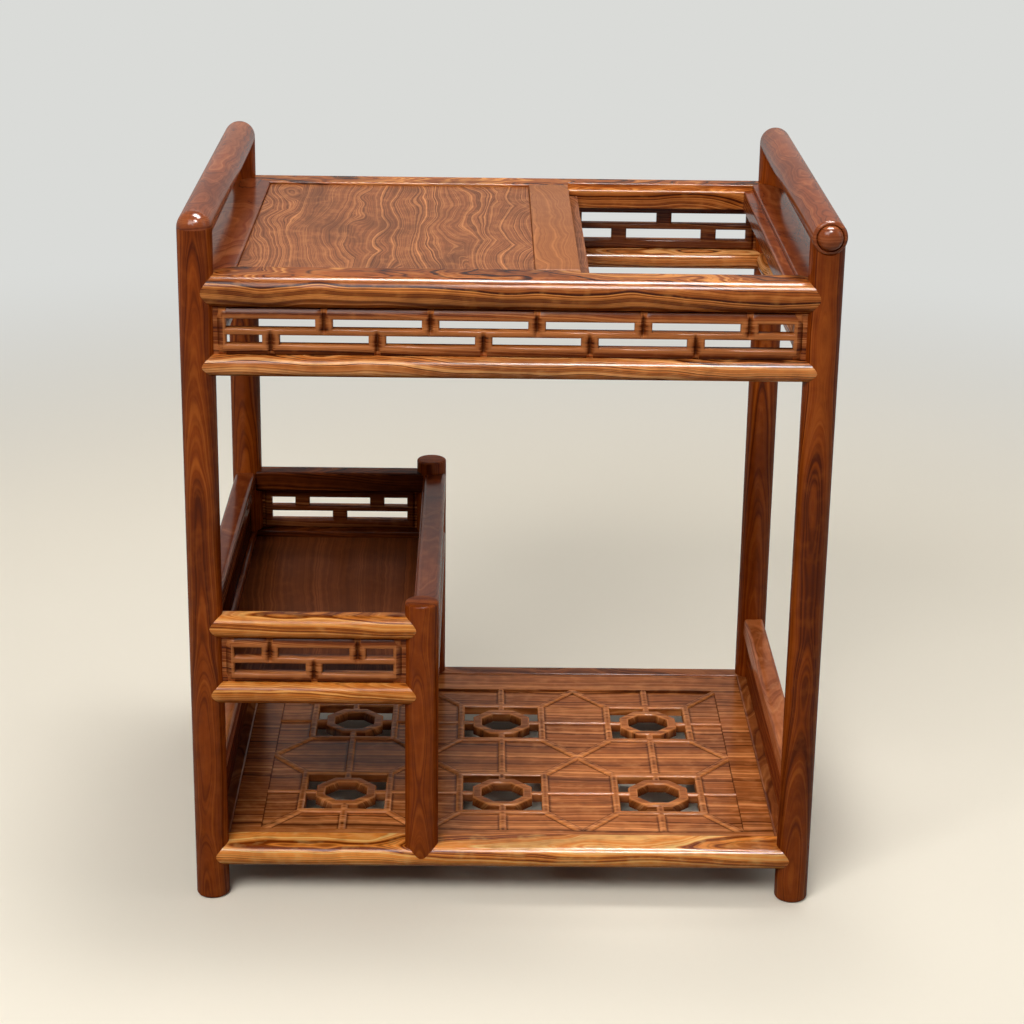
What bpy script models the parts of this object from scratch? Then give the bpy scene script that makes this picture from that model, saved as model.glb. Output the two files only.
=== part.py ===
"""A free-standing rosewood tea stand: four round legs, two hand rails, a framed top with an open well,
brick-pattern fret aprons, a raised side tray and a pierced bottom shelf between two curbs.

Metres, +Z up. The origin is on the floor under the middle of the four legs, +X is the right-hand side
and -Y is the front. Every piece is its own solid. Rails are scribed round the posts and tenoned into
them, and panels float on tongues, all with one small clearance.
"""

import math
from dataclasses import dataclass

import bmesh
import bpy
from mathutils import Vector

# Plan of the stand
LEG_SPACING_X = 0.568
LEG_SPACING_Y = 0.430
LEG_DIAMETER = 0.032
FOOT_ROUNDING = 0.0035
LEG_TOP_DROP = 0.0055

# Top frame, panel and well
TOP_HEIGHT = 0.624
TOP_RAIL_HEIGHT = 0.025
TOP_FRONT_RAIL_HEIGHT = 0.030
TOP_NOSE_DEPTH = 0.013
TOP_FRONT_INSET = 0.028
TOP_SIDE_INSET = 0.034
TOP_PANEL_RECESS = 0.003
TOP_PANEL_THICKNESS = 0.010
WELL_WIDTH = 0.1765
WELL_LEDGE = 0.010
WELL_LEDGE_DEPTH = 0.012
DIVIDER_WIDTH = 0.051
TOP_BATTEN_WIDTH = 0.018
TOP_BATTEN_SPREAD = 0.190

# Hand rails
HAND_RAIL_GAP = 0.026
HAND_RAIL_DIAMETER = 0.034
HAND_RAIL_DOME = 0.003
HAND_TENON_DIAMETER = 0.014
HAND_TENON_RISE = 0.012

# Fret aprons under the top
APRON_FRET_HEIGHT = 0.049
APRON_RAIL_HEIGHT = 0.020
FRONT_BRICK_COUNT = 5
SIDE_BRICK_COUNT = 4

# Side tray
TRAY_WIDTH = 0.2043
TRAY_HEIGHT = 0.2955
TRAY_RAIL_HEIGHT = 0.0225
TRAY_FRET_HEIGHT = 0.046
TRAY_LOW_RAIL_HEIGHT = 0.021
TRAY_BRICK_COUNT = 2
TRAY_FLOOR_DROP = 0.007
TRAY_FLOOR_THICKNESS = 0.009
TRAY_POST_RISE = 0.0135
TRAY_POST_ROUNDING = 0.0025
TRAY_BEAK_DROP = 0.0115
TRAY_BEAK_THICKNESS = 0.0075
TRAY_BEAK_SLOPE = 0.66
TRAY_BEAK_BLUNTING = 0.0013

# Bottom shelf and its curbs
SHELF_HEIGHT = 0.056
SHELF_RAIL_HEIGHT = 0.022
SHELF_PANEL_RECESS = 0.0015
SHELF_PANEL_THICKNESS = 0.010
SHELF_MARGIN_X = 0.029
SHELF_MARGIN_FRONT = 0.010
SHELF_MARGIN_REAR = 0.042
SHELF_BATTEN_WIDTH = 0.020
CURB_BOARD_HEIGHT = 0.048
CURB_RAIL_HEIGHT = 0.023

# Lattice carved in the shelf
LATTICE_COLUMNS = 3
LATTICE_ROWS = 2
LATTICE_OPENING = 0.080
LATTICE_BAR = 0.0075
LATTICE_LINK = 0.0055
LATTICE_RELIEF = 0.0025
RING_SIZE = 0.061
RING_BAR = 0.0095
RING_SIDES = 8

# Rail sections
RAIL_SETBACK = 0.0005
NOSE_DEPTH = 0.010
ROLL_DEPTH = 0.028
ROLL_KEEL = 0.009
BACK_ROUNDING = 0.002
TRAY_FRONT_INNER = 0.0125
SHELF_FRONT_INNER = 0.020
SHELF_REAR_INNER = 0.010
SIDE_RAIL_OUTER = 0.012
SIDE_RAIL_INNER = 0.010
SIDE_RAIL_ROUNDING = 0.005
TRAY_RIGHT_INNER = 0.008

# Fret panels and plain boards between rails
FRET_THICKNESS = 0.012
FRET_SETBACK = 0.0065
FRET_EDGE = 0.010
FRET_MIDDLE = 0.0065
FRET_BAR = 0.016
FRET_END = 0.008
FRET_GROOVE_WIDTH = 0.003
FRET_GROOVE_DEPTH = 0.002
BOARD_THICKNESS = 0.010
INFILL_END_GAP = 0.003

# Joints
FIT = 0.0003
TENON_THICKNESS = 0.008
TENON_SHOULDER = 0.006
TENON_TIP = 0.0065
TENON_ROOT = 0.004
POST_TENON_LENGTH = 0.008
TONGUE = 0.005
TONGUE_THICKNESS = 0.005
TONGUE_IN_POST = 0.0042
BATTEN_TENON = 0.008
DIVIDER_TENON = 0.010
DIVIDER_TENON_WIDTH = 0.016
MITRE_FIT = 0.0002

# Facets
POST_SIDES = 24
PEG_SIDES = 16
ARC_STEPS = 4
SMOOTH_ANGLE = math.radians(35)
SAME_POINT = 1e-7
PAST = 0.010

# Sizes that follow from those above
LEG_X = LEG_SPACING_X / 2
LEG_Y = LEG_SPACING_Y / 2
LEG_RADIUS = LEG_DIAMETER / 2
RAIL_OUTER = LEG_RADIUS - RAIL_SETBACK
FRET_OUTSET = RAIL_OUTER - FRET_SETBACK - FRET_THICKNESS / 2
HAND_RADIUS = HAND_RAIL_DIAMETER / 2
HAND_AXIS = TOP_HEIGHT + HAND_RAIL_GAP + HAND_RADIUS
LEG_TOP = HAND_AXIS - LEG_TOP_DROP
TOP_LOW = TOP_HEIGHT - TOP_RAIL_HEIGHT
TOP_FRONT_LOW = TOP_HEIGHT - TOP_FRONT_RAIL_HEIGHT
APRON_RAIL_TOP = TOP_LOW - APRON_FRET_HEIGHT
TRAY_POST_X = TRAY_WIDTH - LEG_X
TRAY_RAIL_LOW = TRAY_HEIGHT - TRAY_RAIL_HEIGHT
TRAY_LOW_TOP = TRAY_RAIL_LOW - TRAY_FRET_HEIGHT
SHELF_LOW = SHELF_HEIGHT - SHELF_RAIL_HEIGHT
CURB_RAIL_LOW = SHELF_HEIGHT + CURB_BOARD_HEIGHT
WELL_RIGHT = LEG_X - TOP_SIDE_INSET
WELL_LEFT = WELL_RIGHT - WELL_WIDTH
DIVIDER_LEFT = WELL_LEFT - DIVIDER_WIDTH
TOP_INNER_Y = LEG_Y - TOP_FRONT_INSET

# Colour and roughness of each timber
TIMBERS = {
    "dark_rosewood": ((0.150, 0.045, 0.018), 0.30),
    "red_rosewood": ((0.235, 0.085, 0.045), 0.28),
    "amber_rosewood": ((0.360, 0.135, 0.042), 0.28),
    "figured_rosewood": ((0.240, 0.095, 0.048), 0.32),
    "striped_rosewood": ((0.270, 0.100, 0.040), 0.30),
    "deep_rosewood": ((0.085, 0.028, 0.016), 0.22),
}

pieces = {}


@dataclass(frozen=True)
class Section:
    """A rail's cross-section: its reach outside and inside its post axes, its levels and its rounding.

    nose, keel and back give the depth and the rise of the rounding on the upper outer edge, the lower
    outer edge and both inner edges.
    """

    outer: float
    inner: float
    low: float
    high: float
    nose: tuple
    keel: tuple
    back: tuple

    def outline(self):
        """The outline as (distance outside the post axes, height) points."""
        nose_u, nose_z = self.nose
        keel_u, keel_z = self.keel
        back_u, back_z = self.back
        corners = (
            (self.outer - keel_u, self.low + keel_z, self.keel, -90),
            (self.outer - nose_u, self.high - nose_z, self.nose, 0),
            (back_u - self.inner, self.high - back_z, self.back, 90),
            (back_u - self.inner, self.low + back_z, self.back, 180),
        )
        points = []
        for u, z, (depth, rise), start in corners:
            for step in range(ARC_STEPS + 1):
                angle = math.radians(start + 90 * step / ARC_STEPS)
                point = (u + depth * math.cos(angle), z + rise * math.sin(angle))
                if not points or math.dist(points[-1], point) > SAME_POINT:
                    points.append(point)
        return points


@dataclass(frozen=True)
class Bay:
    """The space between two posts that rails and panels fill, and the direction that faces outside."""

    first: str
    second: str
    outward: tuple

    @property
    def run(self):
        """The axis along which the rails run."""
        return "x" if self.outward[1] else "y"

    @property
    def sign(self):
        """+1 where outside is towards the positive end of the axis across the rails, otherwise -1."""
        return sum(self.outward)

    @property
    def ends(self):
        """Where the two post axes stand along the run."""
        which = 0 if self.run == "x" else 1
        return POSTS[self.first][which], POSTS[self.second][which]

    @property
    def reading(self):
        """+1 where someone outside reads left to right along the positive run, otherwise -1."""
        return -self.sign if self.run == "x" else self.sign

    def across(self, outside):
        """The coordinate at this distance outside the plane of the post axes."""
        which = 1 if self.run == "x" else 0
        return POSTS[self.first][which] + self.sign * outside


POSTS = {
    "front_left_leg": (-LEG_X, -LEG_Y),
    "front_right_leg": (LEG_X, -LEG_Y),
    "rear_left_leg": (-LEG_X, LEG_Y),
    "rear_right_leg": (LEG_X, LEG_Y),
    "tray_front_post": (TRAY_POST_X, -LEG_Y),
    "tray_rear_post": (TRAY_POST_X, LEG_Y),
}
FRONT = Bay("front_left_leg", "front_right_leg", (0, -1))
REAR = Bay("rear_left_leg", "rear_right_leg", (0, 1))
LEFT = Bay("front_left_leg", "rear_left_leg", (-1, 0))
RIGHT = Bay("front_right_leg", "rear_right_leg", (1, 0))
TRAY_FRONT = Bay("front_left_leg", "tray_front_post", (0, -1))
TRAY_REAR = Bay("rear_left_leg", "tray_rear_post", (0, 1))
TRAY_RIGHT = Bay("tray_front_post", "tray_rear_post", (1, 0))


# Making and joining solids


def at(axis, along, a, b):
    """The point at a distance along an axis, with the other two coordinates in x, y, z order."""
    return {"x": (along, a, b), "y": (a, along, b), "z": (a, b, along)}[axis]


def solid(name, bm):
    """An object from this bmesh, with its faces pointing out."""
    bmesh.ops.recalc_face_normals(bm, faces=bm.faces)
    mesh = bpy.data.meshes.new(name)
    bm.to_mesh(mesh)
    bm.free()
    made = bpy.data.objects.new(name, mesh)
    bpy.context.scene.collection.objects.link(made)
    return made


def prisms(name, axis, outlines, start, end):
    """Each outline extruded along the axis, all in one object."""
    bm = bmesh.new()
    shift = Vector(at(axis, end - start, 0, 0))
    for outline in outlines:
        face = bm.faces.new([bm.verts.new(at(axis, start, a, b)) for a, b in outline])
        made = bmesh.ops.extrude_face_region(bm, geom=[face])
        moved = [part for part in made["geom"] if isinstance(part, bmesh.types.BMVert)]
        bmesh.ops.translate(bm, vec=shift, verts=moved)
    return solid(name, bm)


def rectangle(a_low, a_high, b_low, b_high):
    """The corners of a rectangle, in order."""
    return [(a_low, b_low), (a_high, b_low), (a_high, b_high), (a_low, b_high)]


def box(name, x, y, z, grow=0.0):
    """A box between pairs of coordinates, with every face moved out by grow."""
    outline = rectangle(min(x) - grow, max(x) + grow, min(y) - grow, max(y) + grow)
    return prisms(name, "z", [outline], min(z) - grow, max(z) + grow)


def block(name, bay, along, outside, z, grow=0.0):
    """A box in a bay: along its run, across its post plane and between two heights."""
    across = [bay.across(u) for u in outside]
    x, y = (along, across) if bay.run == "x" else (across, along)
    return box(name, x, y, z, grow)


def turned(name, axis, centre, profile, sides):
    """A turned solid: (radius, distance along the axis) pairs from the middle of one end to the other."""
    bm = bmesh.new()
    rings = []
    for radius, along in profile:
        ring = []
        for step in range(sides if radius else 1):
            angle = math.tau * step / sides
            a = centre[0] + radius * math.cos(angle)
            b = centre[1] + radius * math.sin(angle)
            ring.append(bm.verts.new(at(axis, along, a, b)))
        rings.append(ring)
    for lower, upper in zip(rings, rings[1:]):
        for step in range(sides):
            after = (step + 1) % sides
            corners = [lower[step % len(lower)], lower[after % len(lower)]]
            corners += [upper[after % len(upper)], upper[step % len(upper)]]
            bm.faces.new(list(dict.fromkeys(corners)))
    return solid(name, bm)


def rod(name, axis, centre, radius, start, end, sides):
    """A plain round rod with flat ends."""
    return turned(name, axis, centre, [(0, start), (radius, start), (radius, end), (0, end)], sides)


def combine(piece, other, operation):
    """Boolean of a piece with another solid, which is used up."""
    modifier = piece.modifiers.new(other.name, "BOOLEAN")
    modifier.object = other
    modifier.operation = operation
    modifier.solver = "EXACT"
    graph = bpy.context.evaluated_depsgraph_get()
    mesh = bpy.data.meshes.new_from_object(piece.evaluated_get(graph))
    piece.modifiers.clear()
    spent = [piece.data, other.data]
    piece.data = mesh
    bpy.data.objects.remove(other)
    for old in spent:
        bpy.data.meshes.remove(old)


def cut(piece, cutter):
    """Removes the cutter's space from a piece."""
    combine(piece, cutter, "DIFFERENCE")


def fuse(piece, other):
    """Joins another solid to a piece, as one body."""
    combine(piece, other, "UNION")


def envelope(post):
    """The space that a post needs, over its whole height."""
    return rod("envelope", "z", POSTS[post], LEG_RADIUS + FIT, -PAST, HAND_AXIS, POST_SIDES)


# Posts and hand rails


def legs():
    """Round legs, each with a rounded foot, a saddle under its hand rail and a round tenon."""
    foot = [(0, 0)]
    for step in range(ARC_STEPS + 1):
        angle = math.radians(90 * step / ARC_STEPS)
        radius = LEG_RADIUS - FOOT_ROUNDING * (1 - math.sin(angle))
        foot.append((radius, FOOT_ROUNDING * (1 - math.cos(angle))))
    profile = foot + [(LEG_RADIUS, LEG_TOP), (0, LEG_TOP)]
    for name in ("front_left_leg", "front_right_leg", "rear_left_leg", "rear_right_leg"):
        x, y = POSTS[name]
        leg = turned(name, "z", (x, y), profile, POST_SIDES)
        ends = (y - HAND_RAIL_DIAMETER, y + HAND_RAIL_DIAMETER)
        cut(leg, rod("saddle", "y", (x, HAND_AXIS), HAND_RADIUS + FIT, *ends, POST_SIDES))
        tenon_low = HAND_AXIS - HAND_RAIL_DIAMETER
        tenon_high = HAND_AXIS - HAND_RADIUS + HAND_TENON_RISE
        fuse(leg, rod("tenon", "z", (x, y), HAND_TENON_DIAMETER / 2, tenon_low, tenon_high, PEG_SIDES))
        pieces[name] = leg


def hand_rails():
    """Round bars over the legs from front to rear, with slightly domed ends."""
    reach = LEG_Y + LEG_RADIUS
    dome = []
    for step in range(ARC_STEPS + 1):
        angle = math.radians(90 * step / ARC_STEPS)
        dome.append((HAND_RADIUS * math.cos(angle), reach + HAND_RAIL_DOME * math.sin(angle)))
    dome[-1] = (0, reach + HAND_RAIL_DOME)
    profile = [(radius, -along) for radius, along in reversed(dome)] + dome
    for name, x in (("left_hand_rail", -LEG_X), ("right_hand_rail", LEG_X)):
        grip = turned(name, "y", (x, HAND_AXIS), profile, POST_SIDES)
        radius = HAND_TENON_DIAMETER / 2 + FIT
        high = HAND_AXIS - HAND_RADIUS + HAND_TENON_RISE + FIT
        for y in (-LEG_Y, LEG_Y):
            low = HAND_AXIS - HAND_RAIL_DIAMETER
            cut(grip, rod("mortise", "z", (x, y), radius, low, high, PEG_SIDES))
        pieces[name] = grip


def beaked_rod(name, post, bottom, top, radius, grow, shoulder):
    """A rod whose foot is a pointed beak on its outer side, reaching below a shoulder on the inner side."""
    x, y = POSTS[post]
    side = math.copysign(1, y)
    tip = SHELF_HEIGHT - TRAY_BEAK_DROP - grow
    made = turned(name, "z", (x, y), [(0, bottom), (radius, bottom), *top], POST_SIDES)
    inner = y + side * (LEG_RADIUS - TRAY_BEAK_THICKNESS - grow)
    wide = (x - LEG_DIAMETER, x + LEG_DIAMETER)
    cut(made, box("inner", wide, (inner, y - side * LEG_DIAMETER), (0, shoulder)))
    for way in (-1, 1):
        far = way * LEG_DIAMETER
        wedge = [(x, tip), (x + far, tip + TRAY_BEAK_SLOPE * LEG_DIAMETER), (x + far, tip - LEG_DIAMETER)]
        cut(made, prisms("wedge", "y", [wedge], y - LEG_DIAMETER, y + LEG_DIAMETER))
    return made


def tray_posts():
    """Short round posts that stand on the shelf's front and rear rails, each with a beak over its rail."""
    blunt = SHELF_HEIGHT - TRAY_BEAK_DROP + TRAY_BEAK_BLUNTING
    post_top = TRAY_HEIGHT + TRAY_POST_RISE
    crown = []
    for step in range(ARC_STEPS + 1):
        angle = math.radians(90 * step / ARC_STEPS)
        radius = LEG_RADIUS - TRAY_POST_ROUNDING * (1 - math.cos(angle))
        crown.append((radius, post_top - TRAY_POST_ROUNDING * (1 - math.sin(angle))))
    crown.append((0, post_top))
    for name, rail in (("tray_front_post", "shelf_front_rail"), ("tray_rear_post", "shelf_rear_rail")):
        x, y = POSTS[name]
        post = beaked_rod(name, name, blunt, crown, LEG_RADIUS, 0.0, SHELF_HEIGHT + FIT)
        above = [(LEG_RADIUS + FIT, SHELF_HEIGHT + PAST), (0, SHELF_HEIGHT + PAST)]
        housing = beaked_rod(
            "housing", name, blunt - FIT, above, LEG_RADIUS + FIT, FIT, SHELF_HEIGHT + 2 * PAST
        )
        half = TENON_THICKNESS / 2
        tenon = ((x - half, x + half), (y - half, y + half))
        levels = (SHELF_HEIGHT - POST_TENON_LENGTH, SHELF_HEIGHT + TENON_ROOT)
        fuse(post, box("tenon", *tenon, levels))
        cut(pieces[rail], housing)
        cut(pieces[rail], box("mortise", *tenon, levels, FIT))
        pieces[name] = post


# Rails


def rail(name, bay, section, meets=None):
    """A rail scribed round its two posts and tenoned into them.

    meets gives how far inside the post axes the rails reach that this one meets behind its first and its
    second post, so that its ends are mitred to clear them.
    """
    outline = [(bay.across(u), z) for u, z in section.outline()]
    body = prisms(name, bay.run, [outline], *bay.ends)
    half = TENON_THICKNESS / 2
    levels = (section.low + TENON_SHOULDER, section.high - TENON_SHOULDER)
    ends = zip((bay.first, bay.second), bay.ends, (1, -1), meets or (0, 0))
    for post, end, inwards, other in ends:
        cut(body, envelope(post))
        if other:
            cut(body, mitre(bay, section, end + inwards * MITRE_FIT, inwards * other))
        tip = end + inwards * TENON_TIP
        root = end + inwards * (LEG_RADIUS + TENON_ROOT)
        fuse(body, block("tenon", bay, (tip, root), (-half, half), levels))
        cut(pieces[post], block("mortise", bay, (tip, root), (-half, half), levels, FIT))
    pieces[name] = body


def mitre(bay, section, end, other):
    """The wedge to trim from a rail's end, from the post axis through the frame's inner corner."""
    inner = section.inner
    wedge = [
        (end - other, bay.across(inner)),
        (end + 2 * other, bay.across(-2 * inner)),
        (end - other, bay.across(-2 * inner)),
    ]
    outline = wedge if bay.run == "x" else [(across, along) for along, across in wedge]
    return prisms("mitre", "z", [outline], section.low - PAST, section.high + PAST)


def nosed(low, high, inner, depth=NOSE_DEPTH):
    """A section with a full round nose outside and a nearly square inner edge."""
    nose = (depth, (high - low) / 2)
    return Section(RAIL_OUTER, inner, low, high, nose, nose, (BACK_ROUNDING, BACK_ROUNDING))


def rolled(low, high, inner):
    """A section whose top rolls over a long way to a nose near its lower edge."""
    nose = (ROLL_DEPTH, high - low - ROLL_KEEL)
    back = (BACK_ROUNDING, BACK_ROUNDING)
    return Section(RAIL_OUTER, inner, low, high, nose, (ROLL_KEEL, ROLL_KEEL), back)


def double_nosed(low, high, inner):
    """A section that is round on both sides."""
    nose = (NOSE_DEPTH, (high - low) / 2)
    return Section(RAIL_OUTER, inner, low, high, nose, nose, nose)


def soft_square(low, high, outer, inner):
    """A squared section with well-rounded edges."""
    rounding = (SIDE_RAIL_ROUNDING, SIDE_RAIL_ROUNDING)
    return Section(outer, inner, low, high, rounding, rounding, rounding)


def shelf_rails():
    """The frame round the bottom shelf."""
    meets = (RAIL_OUTER, RAIL_OUTER)
    rail("shelf_front_rail", FRONT, nosed(SHELF_LOW, SHELF_HEIGHT, SHELF_FRONT_INNER), meets)
    rail("shelf_rear_rail", REAR, nosed(SHELF_LOW, SHELF_HEIGHT, SHELF_REAR_INNER), meets)
    meets = (SHELF_FRONT_INNER, SHELF_REAR_INNER)
    for name, bay in (("shelf_left_rail", LEFT), ("shelf_right_rail", RIGHT)):
        rail(name, bay, nosed(SHELF_LOW, SHELF_HEIGHT, RAIL_OUTER), meets)


def curb_rails():
    """The rail along the top of each side curb."""
    top = CURB_RAIL_LOW + CURB_RAIL_HEIGHT
    section = soft_square(CURB_RAIL_LOW, top, SIDE_RAIL_OUTER, SIDE_RAIL_INNER)
    for name, bay in (("left_curb_rail", LEFT), ("right_curb_rail", RIGHT)):
        rail(name, bay, section)


def tray_rails():
    """The upper and lower rails round the tray."""
    low = TRAY_LOW_TOP - TRAY_LOW_RAIL_HEIGHT
    meets = (SIDE_RAIL_INNER, TRAY_RIGHT_INNER)
    for side, bay, shaped in (("front", TRAY_FRONT, double_nosed), ("rear", TRAY_REAR, nosed)):
        rail(f"tray_{side}_low_rail", bay, shaped(low, TRAY_LOW_TOP, TRAY_FRONT_INNER), meets)
        rail(f"tray_{side}_top_rail", bay, shaped(TRAY_RAIL_LOW, TRAY_HEIGHT, TRAY_FRONT_INNER), meets)
    sides = (
        ("left", LEFT, SIDE_RAIL_OUTER, SIDE_RAIL_INNER),
        ("right", TRAY_RIGHT, RAIL_OUTER, TRAY_RIGHT_INNER),
    )
    meets = (TRAY_FRONT_INNER, TRAY_FRONT_INNER)
    for side, bay, outer, inner in sides:
        rail(f"tray_{side}_low_rail", bay, soft_square(low, TRAY_LOW_TOP, outer, inner), meets)
        rail(f"tray_{side}_top_rail", bay, soft_square(TRAY_RAIL_LOW, TRAY_HEIGHT, outer, inner), meets)


def apron_rails():
    """The round rail under each fret apron."""
    section = double_nosed(APRON_RAIL_TOP - APRON_RAIL_HEIGHT, APRON_RAIL_TOP, RAIL_OUTER)
    for side, bay in (("front", FRONT), ("rear", REAR), ("left", LEFT), ("right", RIGHT)):
        rail(f"{side}_apron_rail", bay, section, (RAIL_OUTER, RAIL_OUTER))


def top_rails():
    """The top frame, heaviest in front: its rails meet in mitres behind the legs."""
    meets = (TOP_SIDE_INSET, TOP_SIDE_INSET)
    for name, bay, low in (("top_front_rail", FRONT, TOP_FRONT_LOW), ("top_rear_rail", REAR, TOP_LOW)):
        rail(name, bay, nosed(low, TOP_HEIGHT, TOP_FRONT_INSET, TOP_NOSE_DEPTH), meets)
    meets = (TOP_FRONT_INSET, TOP_FRONT_INSET)
    for name, bay in (("top_left_rail", LEFT), ("top_right_rail", RIGHT)):
        rail(name, bay, rolled(TOP_LOW, TOP_HEIGHT, TOP_SIDE_INSET), meets)


# Panels that float between rails


def infill(name, bay, levels, thickness, outset, hosts):
    """A panel between two rails and two posts, on a tongue let into all four."""
    start, end = bay.ends
    low, high = levels
    gap = LEG_RADIUS + INFILL_END_GAP
    along = (start + gap, end - gap)
    faces = (outset - thickness / 2, outset + thickness / 2)
    panel = block(name, bay, along, faces, (low + FIT, high - FIT))
    reach = LEG_RADIUS - TONGUE_IN_POST
    tongue = (
        bay,
        (start + reach, end - reach),
        (outset - TONGUE_THICKNESS / 2, outset + TONGUE_THICKNESS / 2),
        (low - TONGUE, high + TONGUE),
    )
    fuse(panel, block("tongue", *tongue))
    for host in (bay.first, bay.second, *hosts):
        cut(pieces[host], block("groove", *tongue, FIT))
    pieces[name] = panel
    return along


def brick_rows(length, bricks, staggered):
    """Openings of an upper and a lower row of bricks, as (start, end) pairs along a panel.

    The rows break joint by half a brick. Staggered rows each have a half brick at one end; otherwise the
    upper row has a half brick at both ends and the lower row has none.
    """
    room = length - 2 * FRET_END
    if staggered:
        brick = (room - FRET_BAR * (bricks - 0.5)) / (bricks + 0.5)
    else:
        brick = (room - FRET_BAR * (bricks - 1)) / bricks
    half = (brick - FRET_BAR) / 2
    if staggered:
        widths = ([brick] * bricks + [half], [half] + [brick] * bricks)
    else:
        widths = ([half] + [brick] * (bricks - 1) + [half], [brick] * bricks)
    rows = []
    for row in widths:
        openings = []
        start = FRET_END
        for width in row:
            openings.append((start, start + width))
            start += width + FRET_BAR
        rows.append(openings)
    return rows


def fret(name, bay, levels, bricks, staggered, hosts):
    """A pierced panel in a brick pattern, with a V-groove between neighbouring bricks on its outer face."""
    along = infill(name, bay, levels, FRET_THICKNESS, FRET_OUTSET, hosts)
    low, high = levels
    opening = (high - low - 2 * FRET_EDGE - FRET_MIDDLE) / 2
    middle_low = low + FRET_EDGE + opening
    middle_high = high - FRET_EDGE - opening
    upper = (middle_high, high - FRET_EDGE, (middle_low, high + PAST))
    lower = (low + FRET_EDGE, middle_low, (low - PAST, middle_high))
    first = along[0] if bay.reading > 0 else along[1]
    holes = []
    grooves = []
    bed = bay.across(FRET_OUTSET + FRET_THICKNESS / 2 - FRET_GROOVE_DEPTH)
    proud = bay.across(FRET_OUTSET + FRET_THICKNESS / 2 + FRET_GROOVE_DEPTH)
    rows = brick_rows(along[1] - along[0], bricks, staggered)
    for row, (floor, ceiling, reach) in zip(rows, (upper, lower)):
        for start, end in row:
            edges = sorted((first + bay.reading * start, first + bay.reading * end))
            holes.append(rectangle(*edges, floor, ceiling))
        for (_, end), (start, _) in zip(row, row[1:]):
            middle = first + bay.reading * (end + start) / 2
            grooves.append((middle, reach))
    across = (bay.across(FRET_OUTSET - FRET_THICKNESS), bay.across(FRET_OUTSET + FRET_THICKNESS))
    cut(pieces[name], prisms("holes", "y" if bay.run == "x" else "x", holes, *across))
    for middle, reach in grooves:
        sides = ((middle - FRET_GROOVE_WIDTH, proud), (middle, bed), (middle + FRET_GROOVE_WIDTH, proud))
        outline = sides if bay.run == "x" else [(b, a) for a, b in sides]
        cut(pieces[name], prisms("groove", "z", [outline], *reach))


def frets():
    """The four aprons under the top and the tray's front and rear."""
    for side, bay, bricks, high in (
        ("front", FRONT, FRONT_BRICK_COUNT, TOP_FRONT_LOW),
        ("rear", REAR, FRONT_BRICK_COUNT, TOP_LOW),
        ("left", LEFT, SIDE_BRICK_COUNT, TOP_LOW),
        ("right", RIGHT, SIDE_BRICK_COUNT, TOP_LOW),
    ):
        hosts = (f"{side}_apron_rail", f"top_{side}_rail")
        fret(f"{side}_apron_fret", bay, (APRON_RAIL_TOP, high), bricks, True, hosts)
    for side, bay in (("front", TRAY_FRONT), ("rear", TRAY_REAR)):
        hosts = (f"tray_{side}_low_rail", f"tray_{side}_top_rail")
        fret(f"tray_{side}_fret", bay, (TRAY_LOW_TOP, TRAY_RAIL_LOW), TRAY_BRICK_COUNT, False, hosts)


def side_boards():
    """The plain boards of the tray's sides and of the shelf's curbs."""
    for side, bay in (("left", LEFT), ("right", TRAY_RIGHT)):
        hosts = (f"tray_{side}_low_rail", f"tray_{side}_top_rail")
        infill(f"tray_{side}_board", bay, (TRAY_LOW_TOP, TRAY_RAIL_LOW), BOARD_THICKNESS, 0.0, hosts)
    for side, bay in (("left", LEFT), ("right", RIGHT)):
        hosts = (f"shelf_{side}_rail", f"{side}_curb_rail")
        infill(f"{side}_curb_board", bay, (SHELF_HEIGHT, CURB_RAIL_LOW), BOARD_THICKNESS, 0.0, hosts)


def flat_panel(name, x, y, top, thickness, hosts, posts):
    """A level panel between four inner edges, on a tongue let into them and notched round posts."""
    low = top - thickness
    panel = box(name, (x[0] + FIT, x[1] - FIT), (y[0] + FIT, y[1] - FIT), (low, top))
    middle = low + thickness / 2
    tongue = (
        (x[0] - TONGUE, x[1] + TONGUE),
        (y[0] - TONGUE, y[1] + TONGUE),
        (middle - TONGUE_THICKNESS / 2, middle + TONGUE_THICKNESS / 2),
    )
    fuse(panel, box("tongue", *tongue))
    for post in posts:
        cut(panel, envelope(post))
    for host in hosts:
        cut(pieces[host], box("groove", *tongue, FIT))
    pieces[name] = panel


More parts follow.
